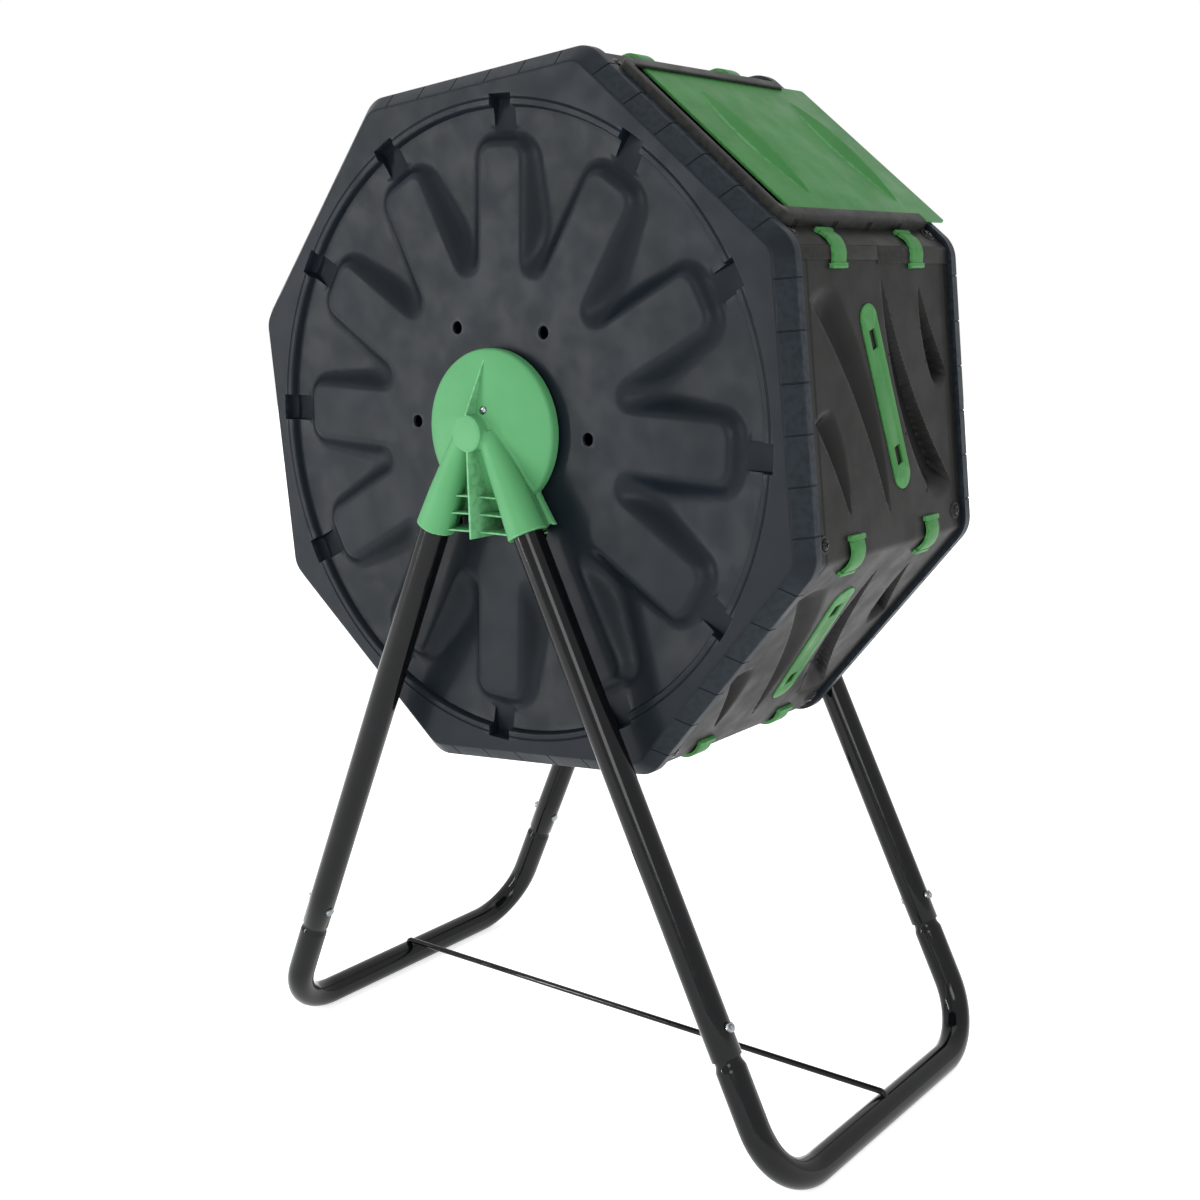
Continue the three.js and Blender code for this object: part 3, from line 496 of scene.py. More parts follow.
def powder_coated_steel(name, colour):
    """Gloss black polyester powder coat on steel: a deep smooth skin with faint orange peel."""
    material, tree, shader = new_material(name)
    place = place_of(tree)
    dust = ramp(tree, noise(tree, place, 22, 5.0, 0.65), 0.5, 0.75, 0.0, 0.25)
    feed(tree, shader, Base_Color=blend_colours(tree, dust, linear(colour), linear("#14171a")))
    feed(tree, shader, Roughness=ramp(tree, noise(tree, place, 9, 4.0), 0.3, 0.75, 0.08, 0.17))
    # orange peel is about 2 mm from wave to wave
    peel = add_node(tree, "ShaderNodeBump", Strength=0.22, Distance=0.08 * MM,
                    Height=noise(tree, place, 2.4, 1.0))
    feed(tree, shader, Normal=peel.outputs[0], IOR=1.5, Specular_IOR_Level=0.22)
    return material


def zinc_plated_steel(name):
    """Bright zinc plating on turned and drawn steel: pale metal with fine scratches and a blue cast."""
    material, tree, shader = new_material(name)
    place = place_of(tree)
    patches = ramp(tree, noise(tree, place, 8, 4.0), 0.35, 0.7, 0.0, 1.0)
    feed(tree, shader, Base_Color=blend_colours(tree, patches, linear("#9ba0a4"), linear("#7d8184")))
    feed(tree, shader, Roughness=ramp(tree, noise(tree, place, 3, 5.0), 0.3, 0.7, 0.22, 0.42))
    scratches = add_node(tree, "ShaderNodeBump", Strength=0.2, Distance=0.03 * MM,
                         Height=noise(tree, place, 0.8, 3.0))
    feed(tree, shader, Metallic=1.0, Normal=scratches.outputs[0])
    return material


CAP_BLACK = moulded_polypropylene("black_polypropylene_cap", "#0f161d", "#0d141a", "#2a3239", 0.42)
# its last colour is painted shade at the floors of the flutes and the strip's seat
PANEL_BLACK = moulded_polypropylene("black_polypropylene_panel", "#151514", "#131312", "#2c2c2a", 0.46,
                                    "#080808")
GREEN = moulded_polypropylene("green_polypropylene", "#2f6c32", "#2b652e", "#558f58", 0.44)
HUB_GREEN = moulded_polypropylene("green_polypropylene_hub", "#519160", "#4c8a5a", "#79b386", 0.42)
POWDER_BLACK = powder_coated_steel("black_powder_coated_steel", "#08090b")
ZINC = zinc_plated_steel("zinc_plated_steel")
SCREW_BLACK = powder_coated_steel("black_phosphated_screw_steel", "#101112")


def dress(thing, material, body, slot, *nodes):
    """Gives a finished piece its material and its body, and hides the nodes that it stands for; its slot is
    not used.
    """
    thing.data.materials.clear()
    thing.data.materials.append(material)
    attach(thing, body)
    if nodes:
        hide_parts(*nodes)
    return thing


# ---- pieces that repeat


def pieces_around_the_drum():
    """A tree that sets copies of a piece around the drum, in rows along it, and leaves one place out."""
    tree = bpy.data.node_groups.new("pieces_around_the_drum", "GeometryNodeTree")
    sockets = [
        ("Piece", "NodeSocketObject"), ("Places", "NodeSocketInt"), ("Rows", "NodeSocketInt"),
        ("Row Spacing", "NodeSocketFloat"), ("First Angle", "NodeSocketFloat"),
        ("Left Out", "NodeSocketInt"), ("Finish", "NodeSocketMaterial"),
    ]
    for name, kind in sockets:
        tree.interface.new_socket(name, in_out="INPUT", socket_type=kind)
    tree.interface.new_socket("Pieces", in_out="OUTPUT", socket_type="NodeSocketGeometry")
    given = add_node(tree, "NodeGroupInput").outputs

    def math_node(operation, a, b):
        return add_node(tree, "ShaderNodeMath", {"operation": operation}, _0=a, _1=b).outputs[0]

    index = add_node(tree, "GeometryNodeInputIndex").outputs[0]
    place = math_node("FLOOR", math_node("DIVIDE", math_node("ADD", index, 0.5), given["Rows"]), 0.0)
    row = math_node("SUBTRACT", index, math_node("MULTIPLY", place, given["Rows"]))
    middle = math_node("DIVIDE", math_node("SUBTRACT", given["Rows"], 1.0), 2.0)
    along = math_node("MULTIPLY", math_node("SUBTRACT", row, middle), given["Row Spacing"])
    step = math_node("DIVIDE", 2 * math.pi, given["Places"])
    angle = math_node("ADD", given["First Angle"], math_node("MULTIPLY", place, step))
    turn = add_node(tree, "ShaderNodeCombineXYZ", Y=math_node("SUBTRACT", math.pi / 2, angle)).outputs[0]
    position = add_node(tree, "ShaderNodeCombineXYZ", Y=along).outputs[0]
    points = add_node(tree, "GeometryNodePoints", Count=math_node("MULTIPLY", given["Places"], given["Rows"]),
                      Position=position)
    kept = add_node(tree, "FunctionNodeCompare", {"data_type": "FLOAT", "operation": "NOT_EQUAL"},
                    _0=place, _1=given["Left Out"])
    piece = add_node(tree, "GeometryNodeObjectInfo", Object=given["Piece"])
    rotation = add_node(tree, "FunctionNodeEulerToRotation", _0=turn)
    copies = add_node(tree, "GeometryNodeInstanceOnPoints", Points=points.outputs[0],
                      Selection=kept.outputs[0], Instance=piece.outputs["Geometry"],
                      Rotation=rotation.outputs[0])
    real = add_node(tree, "GeometryNodeRealizeInstances", _0=copies.outputs[0])
    finished = add_node(tree, "GeometryNodeSetMaterial", Geometry=real.outputs[0], Material=given["Finish"])
    add_node(tree, "NodeGroupOutput", _0=finished.outputs[0])
    return tree


AROUND = pieces_around_the_drum()


def around_drum(name, piece, finish, places=SIDES, rows=1, spacing=0.0, first=0.0, left_out=-1):
    """A plain mesh of copies of a piece, which is drawn lying on top of the drum, at its places."""
    holder = collection_link(bpy.data.objects.new(name, bpy.data.meshes.new(name)))
    modifier = modify(holder, "NODES", node_group=AROUND)
    values = {
        "Piece": piece, "Places": places, "Rows": rows, "Row Spacing": spacing * MM,
        "First Angle": math.radians(first), "Left Out": left_out, "Finish": finish,
    }
    for item in AROUND.interface.items_tree:
        if item.in_out == "INPUT":
            modifier[item.identifier] = values[item.name]
    bake(holder)
    holder.data.transform(DRUM)
    bpy.data.objects.remove(piece)
    return holder


# ---- end caps


def arm_distance(u, v):
    """Distance from an arm of the star, negative on it, for points u along it and v across it."""
    past = np.abs(u - ARM_END / 2) - (ARM_END / 2 - ARM_CORNER)
    beside = np.abs(v) - (ARM_HALF - ARM_CORNER)
    outside = np.hypot(np.maximum(past, 0), np.maximum(beside, 0))
    return outside + np.minimum(np.maximum(past, beside), 0) - ARM_CORNER


def star_distance(u, v):
    """Distance from the raised star, for points in the frame of their nearest arm."""
    pitch = 2 * math.pi / STAR_ARMS
    radius = np.hypot(u, v)
    beyond = pitch - np.abs(np.arctan2(v, u))
    next_arm = arm_distance(radius * np.cos(beyond), radius * np.sin(beyond))
    arms = smooth_min(arm_distance(u, v), next_arm, 22.0)
    return smooth_min(arms, radius - STAR_CORE, 20.0)


def cap_depth(u, v):
    """How far the face lies behind the star's top, for points in the frame of their nearest arm."""
    radius = np.hypot(u, v)
    share = (VALLEY_RIM - radius) / (VALLEY_RIM - STAR_CORE)
    floor = VALLEY_SHALLOW + (VALLEY_DEEP - VALLEY_SHALLOW) * share
    wall = VALLEY_SLOPE * smooth_max(star_distance(u, v), 0.0, 3.6)
    valley = smooth_min(wall, floor, 6.0)
    ring_wall = 3.0 * smooth_max(VALLEY_RIM - radius, 0.0, 0.8)
    ridge = np.clip(1 - np.abs(radius - RIDGE_RADIUS) / RIDGE_HALF, 0, 1)
    groove = np.clip(1 - np.abs(radius - GROOVE_RADIUS) / GROOVE_HALF, 0, 1)
    depth = smooth_min(valley, ring_wall, 1.0) - RIDGE_HEIGHT * np.sin(ridge * math.pi / 2)
    depth = depth + GROOVE_DEPTH * np.sin(groove * math.pi / 2)
    return np.maximum(depth, notch_depth(u, v, radius))


def notch_depth(u, v, radius):
    """A scoop from the ring to the end of an arm: a steep outer end, and a floor that comes up inward."""
    share = np.clip((NOTCH_END - radius) / (NOTCH_END - NOTCH_START), 0, 1)
    floor = NOTCH_DEPTH * np.clip(share / 0.12, 0, 1) ** 0.5 * (1 - 0.45 * share ** 2)
    crown = 1.5 * (1 - (v / NOTCH_HALF) ** 2)
    side = np.clip((NOTCH_HALF - np.abs(v)) / 0.6, 0, 1)
    foot = np.clip((1 - share) / 0.1, 0, 1)
    inside = (share > 0) & (share < 1) & (u > 0)
    return np.where(inside, (floor + crown) * side * foot, 0.0)


# Degrees from the middle of an arm to the middle of a valley, close together at the arm's walls.
ARM_LINES = np.concatenate([
    [0, 1.2, 2.2, 2.75, 3.3, 4.2], np.arange(5.0, 9.8, 0.6), [10.0, 10.8, 11.6, 12.4, 13.3, 14.2, 15.0],
])
NOTCH_LINES = {3: NOTCH_HALF - 0.7, 4: NOTCH_HALF}
HOLE_RINGS = np.linspace(VENT_CIRCLE - 8.4, VENT_CIRCLE + 8.4, 9)
NOTCH_RINGS = np.concatenate([
    [254.6, NOTCH_START - 0.2, 258.2, 259.6, 261.4, 263.4], np.arange(265.6, 281.0, 2.6),
    [281.8, 283.2, VALLEY_RIM, 284.8, 285.4, 286.1, RIDGE_RADIUS, 287.5, 288.3, 289, GROOVE_RADIUS, 290.2],
    [290.8, 291.6, 292.6, NOTCH_END, 294.3],
])
CAP_RINGS = np.concatenate([
    [AXLE_RADIUS + 1.5, 20, 34, 52, 74, 90], HOLE_RINGS, [118, 126, 132], np.arange(136, 172, 2.0),
    np.arange(172, 236, 6.0), np.arange(236, 254, 2.2), NOTCH_RINGS,
])


def cap_face_points():
    """Points of the round part of a face, one row for each ring, with their distances from the axis."""
    last = len(ARM_LINES) - 1
    lines = list(range(-last, last))
    rows = []
    for ring, radius in enumerate(CAP_RINGS):
        row = []
        for arm in range(STAR_ARMS):
            axis = STAR_TURN + 2 * math.pi * arm / STAR_ARMS
            for line in lines:
                turn = math.radians(math.copysign(ARM_LINES[abs(line)], line))
                u, v = radius * math.cos(turn), radius * math.sin(turn)
                if radius > NOTCH_RINGS[0] - 0.1 and abs(line) in NOTCH_LINES:
                    v = math.copysign(NOTCH_LINES[abs(line)], line)
                    u = math.sqrt(radius * radius - v * v)
                if arm % (STAR_ARMS // VENT_HOLES) == 0:
                    u, v = around_hole(ring, line, u, v)
                row.append((u, v, axis))
        rows.append(row)
    return np.array(rows)


HOLE_RING = int(np.argmin(np.abs(CAP_RINGS - VENT_CIRCLE)))


def hole_level(ring, line):
    """0 at the middle of a vent hole, 3 on its edge and 4 on the square of faces around it."""
    return max(abs(ring - HOLE_RING), abs(line) - 1)


def around_hole(ring, line, u, v):
    if hole_level(ring, line) != 3:
        return u, v
    turn = math.atan2(v, u - VENT_CIRCLE)
    return VENT_CIRCLE + VENT_HOLE_RADIUS * math.cos(turn), VENT_HOLE_RADIUS * math.sin(turn)


def in_hole(ring, column):
    per_arm = 2 * (len(ARM_LINES) - 1)
    arm, line = column // per_arm, column % per_arm - per_arm // 2
    if arm % (STAR_ARMS // VENT_HOLES):
        return False
    corners = [(ring, line), (ring + 1, line), (ring, line + 1), (ring + 1, line + 1)]
    return all(hole_level(r, k) <= 3 for r, k in corners)


def side_samples():
    """Places along a side where the rim's grooves start, bottom and end, and whether each is a bottom."""
    samples = []
    for i in range(TICKS):
        middle = (i - (TICKS - 1) / 2) * TICK_SPACING
        for away, low in ((-TICK_HALF, 0), (-TICK_HALF / 2, 1), (TICK_HALF / 2, 1), (TICK_HALF, 0)):
            samples.append((middle + away, low))
        samples.append((middle + TICK_SPACING / 2, 0))
    return samples[:-1]


def octagon_loop(flat, corner, dip):
    """An eight-sided loop with rounded corners and with the rim's grooves, as x and z."""
    points = []
    for side in range(SIDES):
        turn = 2 * math.pi * side / SIDES
        out, on = np.array([math.cos(turn), math.sin(turn)]), np.array([-math.sin(turn), math.cos(turn)])
        end = (flat - corner) * TAN
        for s, low in [(-end, 0), *side_samples(), (end, 0)]:
            points.append(out * (flat - dip * low) + on * s)
        to_centre = turn + math.pi / SIDES
        spoke = np.array([math.cos(to_centre), math.sin(to_centre)])
        centre = (flat - corner) / math.cos(math.pi / SIDES) * spoke
        for k in range(1, 8):
            at = turn + 2 * math.pi / SIDES * k / 8
            points.append(centre + corner * np.array([math.cos(at), math.sin(at)]))
    return points


def rim_profile():
    """From the edge of the face over the chamfer and the rim to the tongue under the panels."""
    tongue = PANEL_FLAT - PANEL_WALL - SEAM
    corners = [
        (FACE_FLAT - 1.9, -FACE_Y), (FACE_FLAT, -FACE_Y), (RIM_FLAT, -RIM_START), (RIM_FLAT, -PANEL_END),
    ]
    run = rounded(corners, [0, RIM_EDGE_RADIUS, RIM_EDGE_RADIUS, 0], 4)
    return run + [(tongue, -PANEL_END), (tongue, -PANEL_END + TONGUE_LENGTH)]


def band_faces(first, second, count):
    """The faces between two loops of vertices, given by where they start."""
    pairs = [(j, (j + 1) % count) for j in range(count)]
    return [(first + j, second + j, second + k, first + k) for j, k in pairs]


def rim_loops():
    """The loops of the rim, which take up the edge of the face and end under the panels."""
    loops = []
    for flat, y in rim_profile():
        blend = np.clip((flat - FACE_FLAT) / (RIM_FLAT - FACE_FLAT), 0, 1)
        corner = FACE_CORNER + (RIM_CORNER - FACE_CORNER) * blend
        inside = y > -PANEL_END - 0.01 and flat < RIM_FLAT - 1
        dip = TICK_DEPTH if FACE_FLAT < flat and not inside else 0.0
        loops.append([(a, y, b) for a, b in octagon_loop(flat, TONGUE_CORNER if inside else corner, dip)])
    return loops


def end_cap(name, node, turn):
    """A cap as one moulded sheet, closed by its wall."""
    grid = cap_face_points()
    u, v, axis = grid[..., 0], grid[..., 1], grid[..., 2]
    depth = cap_depth(u, v)
    depth[0] = 0.0
    x = u * np.cos(axis) - v * np.sin(axis)
    z = u * np.sin(axis) + v * np.cos(axis)
    face = np.stack([x, depth - FACE_Y, z], -1)
    collar = face[:1].copy()
    collar[..., 1] += COLLAR_LENGTH
    face = np.concatenate([collar, face])
    rings, around = face.shape[:2]
    faces = []
    for i in range(rings - 1):
        band = band_faces(i * around, (i + 1) * around, around)
        faces += [quad for j, quad in enumerate(band) if i == 0 or not in_hole(i - 1, j)]
    loops = rim_loops()
    start, count = rings * around, len(loops[0])
    vertices = face.reshape(-1, 3).tolist() + [point for loop in loops for point in loop]
    for i in range(len(loops) - 1):
        faces += band_faces(start + i * count, start + (i + 1) * count, count)
    thing = mesh_object(name, vertices, faces)
    fill_between(thing.data, (rings - 1) * around, around, start, count)
    modify(thing, "SOLIDIFY", thickness=CAP_WALL * MM, offset=-1.0)
    bake(thing, 40.0)
    thing.data.transform(DRUM @ turn)
    return dress(thing, CAP_BLACK, "drum", "cap_plastic", node)


def fill_between(mesh, first, first_count, second, second_count):
    """Fills the flat ring between two loops of vertices, given by where they start."""
    bm = bmesh.new()
    bm.from_mesh(mesh)
    bm.verts.ensure_lookup_table()
    edges = []
    for start, count in ((first, first_count), (second, second_count)):
        for j in range(count):
            pair = (bm.verts[start + j], bm.verts[start + (j + 1) % count])
            edges.append(bm.edges.get(pair) or bm.edges.new(pair))
    made = bmesh.ops.triangle_fill(bm, use_beauty=True, edges=edges, normal=(0, -1, 0))
    for face in made["geom"]:
        if isinstance(face, bmesh.types.BMFace) and face.normal.y > 0:
            face.normal_flip()
    bm.to_mesh(mesh)
    bm.free()


for cap_end, cap_turn in ENDS.items():
    end_cap(f"{cap_end}_cap", f"end_cap_{cap_end}", cap_turn)

# ---- side panels


def flute_line(flute):
    """Where the line between a flute's tips starts, its unit direction, and its length."""
    (x0, y0), (x1, y1) = flute["tips"]
    chord = math.hypot(x1 - x0, y1 - y0)
    return x0, y0, (x1 - x0) / chord, (y1 - y0) / chord, chord


def flute_place(flute, x, y):
    """Where points lie in a flute: t from its blunt end to its tip, and w across it from its crisp edge."""
    x0, y0, dx, dy, chord = flute_line(flute)
    along = (x - x0) * dx + (y - y0) * dy
    t = along / chord
    lift = -(x - x0) * dy + (y - y0) * dx - 4 * flute["bow"] * t * (1 - t)
    inside = np.clip(t, 0, 1)
    blunt = np.sqrt(np.clip(1 - ((0.09 - inside) / 0.09).clip(0, 1) ** 2, 0, 1))
    width = np.maximum(flute["width"] * (1 - inside ** 2) * blunt, 0.01)
    return t, lift / width, width


def flute_dent(flute, x, y):
    t, w, width = flute_place(flute, x, y)
    inside = np.clip(t, 0, 1)
    reach = np.clip(width / flute["width"], 0, 1)
    fade = np.clip(inside / 0.17, 0, 1)
    deep = FLUTE_DEPTH * np.clip(1 - inside, 0, 1) ** 0.3 * reach ** 0.55 * fade * fade * (3 - 2 * fade)
    wall = np.clip(w * width / 2.6, 0, 1)
    rise = np.clip((1 - w) / 0.62, 0, 1)
    shape = wall * wall * (3 - 2 * wall) * rise * rise * (3 - 2 * rise)
    return np.where((t > 0) & (t < 1) & (w > 0) & (w < 1), deep * shape, 0.0)


def strip_seat(x, y):
    """The shallow recess that a vent strip lies in."""
    along = x * math.cos(STRIP_TILT) + y * math.sin(STRIP_TILT)
    across = -x * math.sin(STRIP_TILT) + y * math.cos(STRIP_TILT)
    past = np.maximum(np.abs(along) - (STRIP_LENGTH - STRIP_WIDTH) / 2, 0)
    clear = np.hypot(past, across) - STRIP_WIDTH / 2 - 0.4
    return STRIP_SINK * np.clip(-clear / 1.2, 0, 1)


def panel_top(x, y):
    """Height of the panel's outside over points of it."""
    dent = np.zeros_like(x)
    for flute in FLUTES:
        dent = np.maximum(dent, flute_dent(flute, x, y))
        dent = np.maximum(dent, flute_dent(flute, -x, -y))
    dent = np.maximum(dent, strip_seat(x, y))
    # each panel is rolled a little at its seams
    seam = np.clip((np.abs(x) - (SIDE_HALF - 3.0)) / 3.0, 0, 1)
    # a low flat land runs along the ends, where the panel lies on the caps
    land = np.clip((np.abs(y) - (PANEL_END - 16.0)) / 2.0, 0, 1) * 0.45
    return PANEL_FLAT - dent - 0.7 * seam * seam - land


def spaced(end, step, extra):
    """Even positions either side of the middle, with extra ones near the ends."""
    count = int(round(2 * end / step))
    return np.unique(np.concatenate([np.linspace(-end, end, count), extra, -np.asarray(extra)]))


def snapped_to_flutes(x, y):
    """Moves the grid's points that are close to a crisp edge onto it."""
    for flute in FLUTES:
        for side in (1, -1):
            dx, dy = flute_line(flute)[2:4]
            t, w, width = flute_place(flute, x * side, y * side)
            near = (t > 0.02) & (t < 0.985) & (np.abs(w * width) < 1.05)
            shift = np.where(near, w * width, 0.0) * side
            x = x + shift * dy
            y = y - shift * dx
    return x, y


def plain_panel():
    """One panel with its flutes and its seat for the strip, lying on top of the drum."""
    xs = spaced(SIDE_HALF - SEAM / 2, 2.1, [SIDE_HALF - 0.8, SIDE_HALF - 1.6])
    ys = spaced(PANEL_END - SEAM, 2.1, [PANEL_END - 16.0, PANEL_END - 14.0])
    x, y = np.meshgrid(xs, ys, indexing="ij")
    snapped_x, snapped_y = snapped_to_flutes(x, y)
    inner = (np.abs(x) < SIDE_HALF - 6) & (np.abs(y) < PANEL_END - 6)
    x, y = np.where(inner, snapped_x, x), np.where(inner, snapped_y, y)
    z = panel_top(x, y)
    vertices = np.stack([x, y, z], -1).reshape(-1, 3)
    thing = mesh_object("panel", vertices, grid_faces(len(xs), len(ys)))
    # how deep each point lies in a recess, which darkens the panel there as painted shade
    recess_shade = np.clip((PANEL_FLAT - z - 1.8) / 6.0, 0, 1).reshape(-1)
    thing.data.attributes.new("recess", "FLOAT", "POINT").data.foreach_set("value", recess_shade)
    modify(thing, "SOLIDIFY", thickness=PANEL_WALL * 0.8 * MM, offset=-1.0)
    return bake(thing, 30.0)


# Places along a flute, from its blunt end, where a thin rib bridges it.
RIB_SUNK = 0.6
RIB_PROUD = 0.22
RIB_HALF = 0.95
RIBS = [(0.12, 0.40, 0.72), (0.35, 0.65)]


def flute_ribs():
    """The thin ribs that bridge the two flutes nearest the far end."""
    ribs = []
    for flute, places in zip(FLUTES, RIBS):
        x0, y0, dx, dy, chord = flute_line(flute)
        for t in places:
            width = flute["width"] * (1 - t * t)
            base = 4 * flute["bow"] * t * (1 - t)
            rings = []
            for w in np.linspace(0.45, 1.03, 7):
                lift = base + w * width
                middle = np.array([x0 + dx * t * chord - dy * lift, y0 + dy * t * chord + dx * lift])
                z = float(panel_top(*[np.array([value]) for value in middle])[0])
                side = np.array([dx, dy]) * RIB_HALF
                near, far = -(middle - side), -(middle + side)
                foot, top = z - RIB_SUNK, z + RIB_PROUD
                rings.append([(*near, foot), (*far, foot), (*far, top), (*near, top)])
            ribs.append(loft("rib", rings))
    return ribs


def boss(x, y):
    """The raised round seat of a panel screw."""
    heights = ((0, -1.5), (8.4, -1.5), (8.0, 0.6), (7.4, 1.2), (5.6, 1.2), (5.2, 0.4), (0, 0.4))
    profile = [(radius, PANEL_FLAT + height) for radius, height in heights]
    return lathe("boss", profile, 28, Matrix.Translation(Vector((x, y, 0)) * MM))


# The ribs' near-black finish is painted shade: it makes them read as dark slits across the flutes.
SLIT_SHADE_BLACK = moulded_polypropylene("black_polypropylene_rib_painted_slit_shade", "#0c0d0d", "#090a0a", "#101111", 0.7)
BARE_PANEL = join("bare_panel", [plain_panel(), boss(BOSS_X, -BOSS_Y), boss(BOSS_X, BOSS_Y)])
RIB_SET = join("rib_set", flute_ribs())
for place in range(SIDES):
    if place == DOOR_PLACE:
        continue
    turn = 360 / SIDES * place
    title = math.floor(turn)
    panel = placed_copy(BARE_PANEL, f"side_panel_{title}", on_side(turn))
    dress(panel, PANEL_BLACK, "drum", "panel_plastic", f"panel_{title}")
    ribs = placed_copy(RIB_SET, f"flute_ribs_{title}", on_side(turn))
    dress(ribs, SLIT_SHADE_BLACK, "drum", "panel_plastic")
bpy.data.objects.remove(BARE_PANEL)
bpy.data.objects.remove(RIB_SET)

# ---- vent strips, clips and screws


def filled_plate(name, outlines, low, high, soft):
    """A flat plate with holes: the first outline is its edge and the others are its holes."""
    bm = bmesh.new()
    edges = []
    for outline in outlines:
        corners = [bm.verts.new((x * MM, y * MM, high * MM)) for x, y in outline]
        edges += [bm.edges.new((a, b)) for a, b in zip(corners, corners[1:] + corners[:1])]
    bmesh.ops.triangle_fill(bm, use_beauty=True, edges=edges, normal=(0, 0, 1))
    mesh = bpy.data.meshes.new(name)
    bm.to_mesh(mesh)
    bm.free()
    thing = collection_link(bpy.data.objects.new(name, mesh))
    if mesh.polygons[0].normal.z < 0:
        mesh.flip_normals()
    modify(thing, "SOLIDIFY", thickness=(high - low) * MM, offset=-1.0)
    modify(thing, "BEVEL", width=soft * MM, segments=2, limit_method="ANGLE", angle_limit=math.radians(50))
    return bake(thing, 20.0)


def vent_strip():
    half, radius = (STRIP_LENGTH - STRIP_WIDTH) / 2, STRIP_WIDTH / 2
    turns = [math.pi * k / 16 for k in range(17)]
    outline = [(half + radius * math.sin(a), -radius * math.cos(a)) for a in turns]
    outline += [(-x, -y) for x, y in outline]
    long_half, wide_half = STRIP_SLOT[0] / 2, STRIP_SLOT[1] / 2
    slots = []
    for at in (-STRIP_SLOT_AT, STRIP_SLOT_AT):
        corners = [(at - long_half, -wide_half), (at + long_half, -wide_half),
                   (at + long_half, wide_half), (at - long_half, wide_half)]
        slots.append(rounded(corners, 1.0, 2))
    low = PANEL_FLAT - STRIP_SINK
    strip = filled_plate("strip", [outline, *slots], low, low + STRIP_THICK, 0.5)
    strip.data.transform(Matrix.Rotation(STRIP_TILT, 4, "Z"))
    return strip


def clip_section(distance):
    """Half the clip's width and its thickness, so far from the corner along the strap."""
    head = distance > CLIP_REACH - 4.3
    half = (CLIP_HEAD if head else CLIP_WIDTH) / 2
    thick = CLIP_THICK + (0.5 if head else 0)
    away = CLIP_REACH - distance
    if away < 1.6:
        drop = 1 - math.sqrt(1 - (1 - away / 1.6) ** 2)
        half -= 1.2 * drop
        thick -= 0.9 * drop
    return half, thick


def clip():
    """A strap bent over the corner between two sides, with a wider head at each end."""
    lean = math.pi / SIDES
    corner = PANEL_FLAT / math.cos(lean)
    radius = CLIP_BEND / lean
    rings = []
    ends = [CLIP_REACH - k for k in (0, 0.25, 0.9, 1.6, 2.8, 3.8, 4.2, 4.5)]
    for s in [-s for s in ends] + list(np.linspace(-14, 14, 29)) + ends[::-1]:
        half, thick = clip_section(abs(s))
        way = math.copysign(1, s)
        tilt = lean * min(abs(s) / CLIP_BEND, 1.0)
        past = max(abs(s) - CLIP_BEND, 0.0)
        settle = 1.2 * smooth_step((abs(s) - 6.0) / (CLIP_REACH - 8.0))
        x = radius * math.sin(tilt) + past * math.cos(lean) - settle * math.sin(tilt)
        z = corner + CLIP_PROUD - radius * (1 - math.cos(tilt))
        z = z - past * math.sin(lean) - settle * math.cos(tilt)
        section = rounded([(-half, -0.6), (half, -0.6), (half, thick), (-half, thick)], [0, 0, 0.8, 0.8], 3)
        rings.append([((x + math.sin(tilt) * h) * way, y, z + math.cos(tilt) * h) for y, h in section])
    return loft("clip", rings, sharp=40.0)


def screw_head(radius, height, slots=2):
    """A pan head with a cross recess, standing on z = 0."""
    shares = ((1, 0.25), (0.94, 0.6), (0.78, 0.88), (0.5, 1), (0, 1))
    head = lathe("head", [(0, -0.4), (radius, -0.4)] + [(radius * r, height * h) for r, h in shares], 32)
    for k in range(slots):
        turn = Matrix.Rotation(math.pi / 2 * k + 0.4, 4, "Z")
        reach, half = radius * 0.52, radius * 0.12
        cutter = cutter_box("recess", (-reach, -half, height * 0.3), (reach, half, height + 1), turn)
        cut_away(head, cutter)
    return head


def cut_away(thing, cutter):
    modify(thing, "BOOLEAN", object=cutter, operation="DIFFERENCE", solver="EXACT")
    bake(thing)
    bpy.data.objects.remove(cutter)
    return thing


def panel_screw(x, y=0.0):
    head = screw_head(5.0, 2.6)
    head.data.transform(Matrix.Translation(Vector((x, y, PANEL_FLAT + 0.4)) * MM))
    return head


strips = around_drum("vent_strips", vent_strip(), GREEN, left_out=DOOR_PLACE)
strip_nodes = [f"vent_strip_{math.floor(360 / SIDES * i)}" for i in range(SIDES) if i != DOOR_PLACE]
dress(strips, GREEN, "drum", "green_plastic", *strip_nodes)

clips = around_drum("corner_clips", clip(), GREEN, rows=2, spacing=2 * CLIP_Y, first=180 / SIDES)
seams = [math.floor(360 / SIDES * (i + 0.5)) for i in range(SIDES)]
clip_nodes = [f"clip_{seam}_{end}" for seam in seams for end in ENDS]
dress(clips, GREEN, "drum", "green_plastic", *clip_nodes)

screws = around_drum("panel_screws", panel_screw(BOSS_X), SCREW_BLACK, rows=2, spacing=2 * BOSS_Y)
dress(screws, SCREW_BLACK, "drum", "zinc_steel")

# ---- doorway and door


def frame_outline(across, along, radius):
    """The U of the rails and the near stop, moved in by so much at the rails and at the stop."""
    half = RAIL_OUTSIDE - across
    near = -PANEL_END + SEAM + along
    corners = [(half, RAIL_END), (half, near), (-half, near), (-half, RAIL_END)]
    return rounded(corners, [0, radius, radius, 0], 8)


